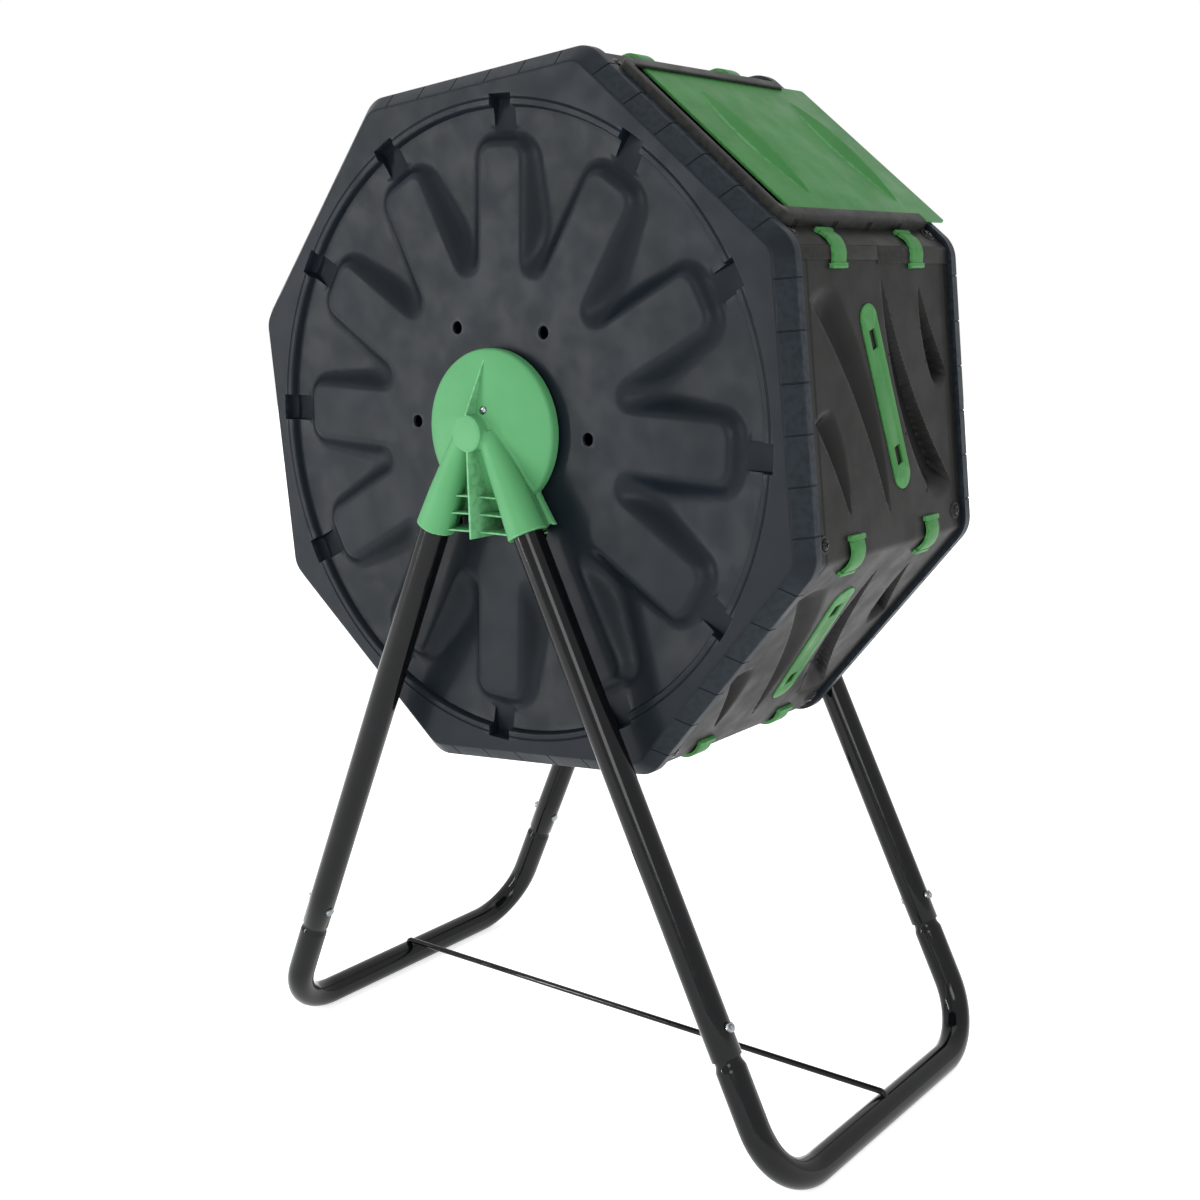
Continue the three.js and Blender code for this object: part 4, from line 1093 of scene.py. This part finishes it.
def door_channel():
    """The channel that the door slides in, closed by a stop at its near end."""
    lip = RAIL_LIP
    section = [
        (0, 0, PANEL_FLAT - PANEL_WALL, 14), (0, 0, RAIL_TOP - 1.6, 14), (0.5, 0.5, RAIL_TOP - 0.5, 13.5),
        (1.6, 1.6, RAIL_TOP, 12.5), (lip - 0.9, 7.4, RAIL_TOP, 6), (lip, 8.3, RAIL_TOP - 0.7, 5.5),
        (lip, 8.3, LIP_BOTTOM, 5.5), (RAIL_WALL, 8.1, LIP_BOTTOM, 1.5), (RAIL_WALL, 8.1, LEDGE_TOP, 1.5),
        (19.9, 14.7, LEDGE_TOP, 3), (19.9, 14.7, PANEL_FLAT - PANEL_WALL, 3),
    ]
    outlines = [frame_outline(across, along, radius) for across, along, z, radius in section]
    count = len(outlines[0])
    rings = []
    for i in range(count):
        ring = []
        for outline, (across, along, z, radius) in zip(outlines, section):
            x, y = outline[i]
            if i in (0, count - 1):
                y -= max(z - LEDGE_TOP, 0) * 1.3
            ring.append((x, y, z))
        rings.append(ring)
    return loft("channel", rings, sharp=40.0)


# Places of the short pairs of gussets along the outside of each rail.
GUSSETS = (-108, -104, -46, -42, 12, 16, 66, 70)


def door_frame():
    low, high = PANEL_FLAT - PANEL_WALL, PANEL_FLAT
    side, end = SIDE_HALF - SEAM / 2, PANEL_END - SEAM
    parts = [door_channel()]
    for way in (-1, 1):
        xs = sorted((way * (DOORWAY_HALF + 2), way * side))
        parts.append(box_piece("border", (xs[0], -end, low), (xs[1], end, high), 0.6))
        ledge = sorted((way * (DOORWAY_HALF + 0.2), way * (RAIL_OUTSIDE - RAIL_WALL)))
        parts.append(box_piece("ledge", (ledge[0], 100, low), (ledge[1], end - 1, LEDGE_TOP - 0.1), 0.5))
        for y in (-BOSS_Y, BOSS_Y):
            parts.append(boss(way * BOSS_X, y))
        for y in GUSSETS:
            xs = sorted((way * (RAIL_OUTSIDE - 1), way * (RAIL_OUTSIDE + 1.1)))
            parts.append(box_piece("gusset", (xs[0], y, high - 1), (xs[1], y + 1.2, RAIL_TOP - 4.6), 0.3))
    wide = RAIL_OUTSIDE - RAIL_WALL
    parts.append(box_piece("near_land", (-wide, -end, low), (wide, -DOORWAY_END - 1, high), 0.5))
    parts.append(box_piece("far_land", (-wide, DOORWAY_END, low), (wide, end, LEDGE_TOP), 0.9))
    return join("doorway_frame", parts)


def lapped_edge():
    """The frame's edge folded over the seam onto the next side, in two lengths."""
    edges = []
    for y0, y1, lap in ((-PANEL_END + SEAM, 0.0, 12.0), (0.0, PANEL_END - SEAM, 15.0)):
        low = (-SIDE_HALF + SEAM, y0, PANEL_FLAT - 0.6)
        edge = box_piece("lap", low, (-SIDE_HALF + lap, y1, PANEL_FLAT + 0.9), 0.4)
        edge.data.transform(on_side(0))
        edges.append(edge)
    return edges


def leaf(middle):
    """A raised leaf across the door: two soft slopes that meet on a crisp ridge."""
    tip = DOOR_HALF - LEAF_INSET
    climb = (0.25, 0.5, 0.75)
    rings = []
    for x in np.linspace(-tip, tip, 41):
        swell = max(1 - (x / tip) ** 2, 0.0004)
        half, high = 17.0 * swell, 6.5 * swell ** 0.8
        ridge = 1.5 * swell
        ring = [(-half, DOOR_TOP - 0.5), (-half, DOOR_TOP - 0.02)]
        ring += [(-half + (ridge + half) * k, DOOR_TOP + high * k ** 1.15) for k in climb]
        ring.append((ridge, DOOR_TOP + high))
        ring += [(half + (ridge - half) * k, DOOR_TOP + high * k ** 1.15) for k in reversed(climb)]
        ring += [(half, DOOR_TOP - 0.02), (half, DOOR_TOP - 0.5)]
        rings.append([(x, middle + y, z) for y, z in ring])
    return loft("leaf", rings, sharp=12.0)


def door_panel():
    outline = [(-DOOR_HALF, DOOR_NEAR), (DOOR_HALF, DOOR_NEAR), (DOOR_HALF, DOOR_FAR), (-DOOR_HALF, DOOR_FAR)]
    plate = soft_plate("door_plate", rounded(outline, 3.0, 5), DOOR_BOTTOM, DOOR_TOP, 0.8, 3, bottom_soft=0.8)
    return join("sliding_door", [plate, leaf(DOOR_NEAR + LEAF_FROM_END), leaf(DOOR_FAR - LEAF_FROM_END)])


doorway = door_frame()
doorway.data.transform(on_side(DOOR_SIDE))
doorway = join("doorway_frame", [doorway, *lapped_edge()])
dress(doorway, PANEL_BLACK, "drum", "panel_plastic", "door_frame")
door = door_panel()
door.data.transform(on_side(DOOR_SIDE))
dress(door, GREEN, "door", "green_plastic", "door")
extra = join("doorway_screws", [panel_screw(-BOSS_X, BOSS_Y), panel_screw(-BOSS_X, -BOSS_Y)])
extra.data.transform(on_side(DOOR_SIDE))
dress(extra, SCREW_BLACK, "drum", "zinc_steel")

# ---- stand

LEG_TOP = Vector((LEG_TOP_X, -LEG_Y, AXLE_HEIGHT))
SPLAY = math.atan2(FOOT_X - LEG_TOP_X, AXLE_HEIGHT - BAR_Z)
LEG_DOWN = Vector((math.sin(SPLAY), 0, -math.cos(SPLAY)))
LEG_OUT = Vector((math.cos(SPLAY), 0, math.sin(SPLAY)))
LEG_JOINT = (AXLE_HEIGHT - JOINT_Z) / math.cos(SPLAY)
LEG_FOOT = (AXLE_HEIGHT - BAR_Z) / math.cos(SPLAY)
QUARTERS = {
    "near_right": (1, 1), "near_left": (-1, 1), "far_right": (1, -1), "far_left": (-1, -1),
}


def on_leg(distance):
    """A point of the near right leg's line, so far down from the axle's level."""
    return LEG_TOP + LEG_DOWN * distance


def bent_path(corners, bend, steps=14, run=30.0):
    """Points along straight runs that are joined by round bends."""
    points = [Vector(corners[0])]
    for i in range(1, len(corners) - 1):
        points += corner_arc(corners[i - 1], corners[i], corners[i + 1], bend, steps)
    points.append(Vector(corners[-1]))
    filled = [points[0]]
    for point in points[1:]:
        count = max(1, round((point - filled[-1]).length / run))
        first = filled[-1]
        filled += [first.lerp(point, (k + 1) / count) for k in range(count)]
    return filled


def swept(name, points, radius, sides=32, squeeze=None):
    """A round bar along points, whose radius is a number or a rule of the distance along it."""
    points = [Vector(p) for p in points]
    tangents = []
    for i in range(len(points)):
        ahead = points[min(i + 1, len(points) - 1)] - points[max(i - 1, 0)]
        tangents.append(ahead.normalized())
    side = tangents[0].orthogonal().normalized()
    rings, travelled = [], 0.0
    for i, (point, tangent) in enumerate(zip(points, tangents)):
        side = (side - tangent * side.dot(tangent)).normalized()
        other = tangent.cross(side)
        if i:
            travelled += (point - points[i - 1]).length
        size = radius(travelled) if callable(radius) else radius
        ring = []
        for j in range(sides):
            turn = 2 * math.pi * j / sides
            spoke = side * math.cos(turn) + other * math.sin(turn)
            here = size * (squeeze(point, spoke) if squeeze else 1.0)
            ring.append(tuple(point + spoke * here))
        rings.append(ring)
    return loft(name, rings)


def mirrored(thing, name, x_way, y_way):
    """Mirrors a mesh across the stand's middle planes, and turns its faces outward again."""
    thing.name = name
    thing.data.transform(Matrix.Diagonal((x_way, y_way, 1, 1)))
    outward(thing.data)
    shade(thing.data)
    return thing


def leg_tube():
    """A leg whose open lower end shows its wall around the neck of the base tube."""
    start, end = LEG_START, LEG_JOINT - SEAM
    bore = TUBE_RADIUS - TUBE_WALL
    length = end - start
    profile = [(bore, 0), (TUBE_RADIUS - 0.4, 0), (TUBE_RADIUS, 0.4)]
    profile += [(TUBE_RADIUS, length * k / 12) for k in range(1, 12)]
    profile += [(TUBE_RADIUS, length - 0.5), (TUBE_RADIUS - 0.2, length - 0.1), (TUBE_RADIUS - 0.6, length),
                (bore, length), (bore, length * 0.5), (bore, 0)]
    return lathe("leg", profile[:-1], 40, aim(on_leg(start), LEG_DOWN))


def base_tube():
    """The U that carries two legs: necked at each end, a little flattened inside its bends."""
    far = lambda p: Vector((p.x, -p.y, p.z))
    top, foot = on_leg(LEG_JOINT - SPIGOT_LENGTH), on_leg(LEG_FOOT)
    middle = Vector((foot.x, 0, foot.z))
    path = [top] + [on_leg(LEG_JOINT + past) for past in (-0.1, 2, 4, 6.5, 8.5, 10.5)]
    bends = bent_path([path[-1], foot, far(foot), far(path[-1])], BASE_BEND)
    whole = path[:-1] + bends + [far(p) for p in reversed(path[:-1])]
    total = sum((b - a).length for a, b in zip(whole, whole[1:]))
    neck = TUBE_RADIUS - 2.0

    def size(travelled):
        from_end = min(travelled, total - travelled) - SPIGOT_LENGTH
        share = min(max((from_end - 3.0) / 7.0, 0.0), 1.0)
        return neck + (TUBE_RADIUS - neck) * share * share * (3 - 2 * share)

    def flattened(point, spoke):
        bent = max(0.0, 1 - (point - foot).length / 48) + max(0.0, 1 - (point - far(foot)).length / 48)
        inside = max(0.0, spoke.dot((middle + Vector((0, 0, 90)) - point).normalized()))
        return 1 - 0.16 * min(1.0, bent * 1.6) * inside ** 3

    return swept("base_tube", whole, size, 40, flattened)


def hex_nut(radius, height, hole):
    corners = [(radius * math.cos(math.pi * k / 3), radius * math.sin(math.pi * k / 3)) for k in range(6)]
    nut = soft_plate("nut", rounded(corners, 0.5, 2), 0.0, height, 0.5, 2)
    tail = height + 1.5
    end = lathe("end", [(0, 0), (hole, 0), (hole, height + 1.0), (hole - 0.5, tail), (0, tail)], 20)
    return [nut, end]


def leg_bolt():
    """A bolt through the joint: a low domed head, washers, and a nut on the outside."""
    middle = on_leg(LEG_JOINT - SPIGOT_LENGTH + 20.0)
    seat = TUBE_RADIUS + 0.1
    head = lathe("dome", [(0, -1), (4.8, -1), (4.8, 0.7), (4.3, 1.4), (3.2, 2.1), (1.7, 2.5), (0, 2.6)], 28)
    head.data.transform(aim(middle - LEG_OUT * seat, -LEG_OUT))
    profile = [(0, -seat - 1), (3, -seat - 1), (3, seat + 1), (0, seat + 1)]
    shank = lathe("shank", profile, 20, aim(middle, LEG_OUT))
    parts = [head, shank]
    for part in hex_nut(4.8, 3.4, 2.6):
        part.data.transform(aim(middle + LEG_OUT * seat, LEG_OUT))
        parts.append(part)
    return join("bolt", parts)


for place, ways in QUARTERS.items():
    tube = mirrored(leg_tube(), f"leg_tube_{place}", *ways)
    dress(tube, POWDER_BLACK, "stand", "tube_steel", f"leg_{place}")
    bolt = mirrored(leg_bolt(), f"bolt_{place}", *ways)
    dress(bolt, ZINC, "stand", "zinc_steel", f"leg_bolt_{place}")
for side, way in (("right", 1), ("left", -1)):
    tube = mirrored(base_tube(), f"ground_tube_{side}", way, 1)
    dress(tube, POWDER_BLACK, "stand", "tube_steel", f"base_tube_{side}")

rod_z = BAR_Z + TUBE_RADIUS + ROD_RADIUS + 0.2
rod_low = BAR_Z + TUBE_RADIUS - 9.0
rod_corners = [(-FOOT_X, 0, rod_low), (-FOOT_X, 0, rod_z), (FOOT_X, 0, rod_z), (FOOT_X, 0, rod_low)]
rod_path = bent_path(rod_corners, 5.0, 8)
dress(swept("brace_rod", rod_path, ROD_RADIUS, 20), POWDER_BLACK, "stand", "tube_steel", "cross_rod")

axle_profile = [
    (8.0, -AXLE_END), (AXLE_RADIUS - 0.5, -AXLE_END), (AXLE_RADIUS, -AXLE_END + 0.5), (AXLE_RADIUS, 0),
    (AXLE_RADIUS, AXLE_END - 0.5), (AXLE_RADIUS - 0.5, AXLE_END), (8.0, AXLE_END), (8.0, 0),
]
axle_tube = lathe("axle_tube", axle_profile, 48, aim((0, 0, AXLE_HEIGHT), (0, 1, 0)))
dress(axle_tube, ZINC, "stand", "zinc_steel", "axle")

# ---- hub brackets

HUB_DISC = 74.0
HUB_BOSS = AXLE_RADIUS + 5.6
HUB_BOSS_END = LEG_Y + TUBE_RADIUS + 1.0
HUB_CONE = HUB_BOSS_END - 12.0 - HUB_FRONT
HUB_SCREW_X = 9.5
HUB_SCREW_Z = HUB_BOSS + 3.6
SOCKET_LENGTH = 98.0
SOCKET_CLOSED = 62.0
SOCKET_TOP_X = 12.5
DISC_EDGE = 3.2
CONE_SWELL = 0.88
HUB_SCREW_ROOM = 4.0
HUB_VOXEL = 1.15
RIB_BOTTOM = SOCKET_LENGTH - 3.0
SHELF_DEPTHS = (58.0, 74.0, 90.0)


def leg_x(depth):
    return LEG_TOP_X + depth * math.tan(SPLAY)


def shelf(depth):
    """A thin shelf between the sockets, with its front edge scooped back."""
    half = leg_x(depth)
    front = -LEG_Y - 7.0
    outline = [(-half, -HUB_BACK - 1)]
    for k in range(13):
        x = -half + 2 * half * k / 12
        outline.append((x, front + 5.0 * (1 - (x / half) ** 2)))
    outline.append((half, -HUB_BACK - 1))
    return soft_plate("shelf", outline, -depth - 0.8, -depth + 0.8, 0.3, 1, bottom_soft=0.3)


def socket_radius(gone):
    """A long cone from the boss to the mouth, a little fuller towards the mouth."""
    return 9.5 + 9.0 * (gone / SOCKET_LENGTH) ** 0.8


def apron():
    """The web behind the sockets, flared at its foot like the sole of a bell."""
    outline = []
    for k in range(13):
        share = k / 12
        depth = 42.0 + 40.0 * share
        outline.append((leg_x(depth) + 10.0 + 5.5 * share ** 1.6, -depth))
    edge_x = outline[-1][0]
    bottom = []
    for k in range(1, 12):
        x = edge_x - 2 * edge_x * k / 12
        bottom.append((x, -82.0 + 4.0 * (1 - (x / edge_x) ** 2)))
    outline = outline + bottom + [(-x, z) for x, z in reversed(outline)]
    web = soft_plate("web", outline, HUB_BACK, HUB_BACK + 6.0, 1.2, 2)
    web.data.transform(Matrix.Rotation(math.pi / 2, 4, "X"))
    return web


def fin():
    """The thin rib above the boss, sloping back to the disc."""
    top = HUB_DISC - 5.0
    out = -HUB_BOSS_END + 0.6
    outline = [(-HUB_FRONT + 2, 6), (-HUB_FRONT + 2, top), (-HUB_FRONT, top), (out, HUB_BOSS + 1), (out, 6)]
    plate = soft_plate("fin", outline, -1.0, 1.0, 0.3, 1, bottom_soft=0.3)
    plate.data.transform(Matrix(((0, 0, 1, 0), (1, 0, 0, 0), (0, 1, 0, 0), (0, 0, 0, 1))))
    return plate


def toward(y):
    """Stands what is drawn along +Z on the axle at a distance from the drum's middle, pointing outward."""
    return aim((0, -y, 0), (0, -1, 0))


def disc_profile():
    """The disc's rim, then its shallow cone up to the boss."""
    edge = HUB_DISC - DISC_EDGE
    rim = ((1.2, 0), (0, 1.2), (0, 8.2), (0.9, 10.6), (DISC_EDGE, 12))
    profile = [(0, 0)] + [(HUB_DISC - inward, height) for inward, height in rim]
    for k in range(1, 13):
        profile.append((edge - (edge - HUB_BOSS) * k / 12, 12 + HUB_CONE * (k / 12) ** CONE_SWELL))
    return profile + [(0, 12 + HUB_CONE)]


def boss_profile():
    high = HUB_BOSS_END - HUB_FRONT
    wide = HUB_BOSS + 1.0
    return [(0, -2), (wide, -2), (wide, 0), (HUB_BOSS, high - 1.0), (HUB_BOSS - 0.3, high - 0.3),
            (HUB_BOSS - 1.0, high), (0, high)]


def sockets(way):
    """A socket for a leg on one side, with the root that ties it to the disc."""
    down = Vector((LEG_DOWN.x * way, 0, LEG_DOWN.z))
    start = Vector((LEG_TOP_X * way, -LEG_Y, 0))
    line = [start + down * t for t in (SOCKET_CLOSED, SOCKET_CLOSED + 20, SOCKET_LENGTH - 1, SOCKET_LENGTH)]
    top = Vector((SOCKET_TOP_X * way, -LEG_Y, 0)) + down
    path = [top.lerp(line[0], k / 8) for k in range(8)] + line
    root = [(down.x * 12 * k + start.x, -HUB_FRONT - 5.0, down.z * 12 * k) for k in range(1, 9)]
    return [swept("socket", path, socket_radius, 64), swept("root", root, lambda gone: 8.0 + 0.07 * gone, 24)]


def bored(skin, radius, length, sides, place):
    return cut_away(skin, lathe("bore", [(0, 0), (radius, 0), (radius, length), (0, length)], sides, place))


def hub_bracket():
    """The bracket with its axle at z = 0: shells run together, made one skin, then bored."""
    parts = [lathe("disc", disc_profile(), 120, toward(HUB_BACK)),
             lathe("boss", boss_profile(), 64, toward(HUB_FRONT)), apron()]
    skin = join("hub", parts + sockets(1) + sockets(-1))
    modify(skin, "REMESH", mode="VOXEL", voxel_size=HUB_VOXEL * MM)
    modify(skin, "SMOOTH", factor=0.5, iterations=3)
    bake(skin)
    for way in (1, -1):
        down = Vector((LEG_DOWN.x * way, 0, LEG_DOWN.z))
        start = Vector((LEG_TOP_X * way, -LEG_Y, 0)) + down * SOCKET_CLOSED
        bored(skin, TUBE_RADIUS + 0.25, 120, 48, aim(start, down))
    bored(skin, AXLE_RADIUS + 0.25, AXLE_END - HUB_BACK + 5, 48, toward(HUB_BACK - 5))
    bored(skin, HUB_SCREW_ROOM, 30, 32, aim((HUB_SCREW_X, -screw_seat(), HUB_SCREW_Z), (0, -1, 0)))
    rib = box_piece("rib", (-1.1, -HUB_BOSS_END + 0.5, -RIB_BOTTOM), (1.1, -HUB_BACK - 1, -6), 0.4)
    return join("bracket", [skin, rib, fin()] + [shelf(depth) for depth in SHELF_DEPTHS])


def screw_seat():
    """How far out the flat of the screw's pocket lies, just under the cone's surface."""
    outer = math.hypot(HUB_SCREW_X, HUB_SCREW_Z) + HUB_SCREW_ROOM
    edge = HUB_DISC - DISC_EDGE
    return HUB_FRONT + HUB_CONE * ((edge - outer) / (edge - HUB_BOSS)) ** CONE_SWELL


def hub_screw():
    head = screw_head(3.4, 2.4)
    head.data.transform(aim((HUB_SCREW_X, -screw_seat(), HUB_SCREW_Z), (0, -1, 0)))
    return head


LIFT = Matrix.Translation((0, 0, AXLE_HEIGHT * MM))
BRACKET = hub_bracket()
SCREW = hub_screw()
for end, turn in ENDS.items():
    bracket = placed_copy(BRACKET, f"leg_bracket_{end}", LIFT @ turn)
    dress(bracket, HUB_GREEN, "stand", "green_plastic", f"hub_bracket_{end}")
    screw = placed_copy(SCREW, f"bracket_screw_{end}", LIFT @ turn)
    dress(screw, ZINC, "stand", "zinc_steel", f"hub_screw_{end}")
bpy.data.objects.remove(BRACKET)
bpy.data.objects.remove(SCREW)

# ---- floor, light and camera


# The camera: its azimuth, elevation and roll in degrees, what it looks at, how far off, and its lens.
CAMERA_ANGLES = (38.62, 10.81, -1.55)
CAMERA_TARGET = Vector((-0.0109, 0, 0.4695))
CAMERA_DISTANCE = 1.5862
CAMERA_LENS = 47.0
FLOOR_HALF = 9
# Each light's place, size and power. All of them face the middle of the object.
LIGHTS = {
    "front": ((2.0, -3.6, 1.6), (1.5, 1.5), 44),
    "streak": ((-2.4, -3.0, 0.9), (0.10, 1.9), 46),
    "top": ((-0.4, 0.4, 3.4), (1.6, 1.6), 10),
}
LIGHT_TARGET = Vector((0, 0, 0.5))


def matt_white():
    """A matt painted studio floor: white, with very faint marks and no gloss."""
    material, tree, shader = new_material("matt_white_floor_paint")
    marks = ramp(tree, noise(tree, place_of(tree), 400, 3.0), 0.3, 0.7, 0.0, 1.0)
    paint = blend_colours(tree, marks, linear("#f6f6f6"), linear("#f4f4f4"))
    feed(tree, shader, Base_Color=paint, Roughness=0.9)
    # a lit-from-below sweep, as product studios use for a shadowless ground
    feed(tree, shader, Emission_Color=linear("#ffffff"), Emission_Strength=0.6)
    return material


def studio_floor():
    xs = np.linspace(-FLOOR_HALF, FLOOR_HALF, 13) / MM
    floor = mesh_object("studio_floor", [(x, y, 0) for x in xs for y in xs], grid_faces(len(xs), len(xs)))
    floor.data.materials.append(matt_white())


def area_light(name, place, size, power):
    light = bpy.data.lights.new(name, "AREA")
    light.shape = "RECTANGLE"
    light.size, light.size_y = size
    light.energy = power
    holder = collection_link(bpy.data.objects.new(name, light))
    holder.location = place
    holder.rotation_euler = (LIGHT_TARGET - Vector(place)).to_track_quat("-Z", "Y").to_euler()


def studio_world():
    world = bpy.data.worlds.new("studio")
    bpy.context.scene.world = world
    world.use_nodes = True
    background = world.node_tree.nodes["Background"]
    background.inputs["Color"].default_value = linear("#ffffff")
    background.inputs["Strength"].default_value = 1.0


def camera():
    azimuth, elevation, roll = (math.radians(a) for a in CAMERA_ANGLES)
    away = Vector((math.sin(azimuth), -math.cos(azimuth), 0))
    back = away * math.cos(elevation) + Vector((0, 0, math.sin(elevation)))
    right = Vector((math.cos(azimuth), math.sin(azimuth), 0))
    up = back.cross(right)
    x_axis = right * math.cos(roll) + up * math.sin(roll)
    y_axis = up * math.cos(roll) - right * math.sin(roll)
    lens = bpy.data.cameras.new("camera")
    lens.lens = CAMERA_LENS
    lens.sensor_width = 36.0
    holder = collection_link(bpy.data.objects.new("camera", lens))
    turn = Matrix((x_axis, y_axis, back)).transposed().to_4x4()
    holder.matrix_world = Matrix.Translation(CAMERA_TARGET + back * CAMERA_DISTANCE) @ turn
    bpy.context.scene.camera = holder


studio_floor()
studio_world()
bpy.context.scene.view_settings.view_transform = "Standard"
for light_name, setting in LIGHTS.items():
    area_light(light_name, *setting)
camera()
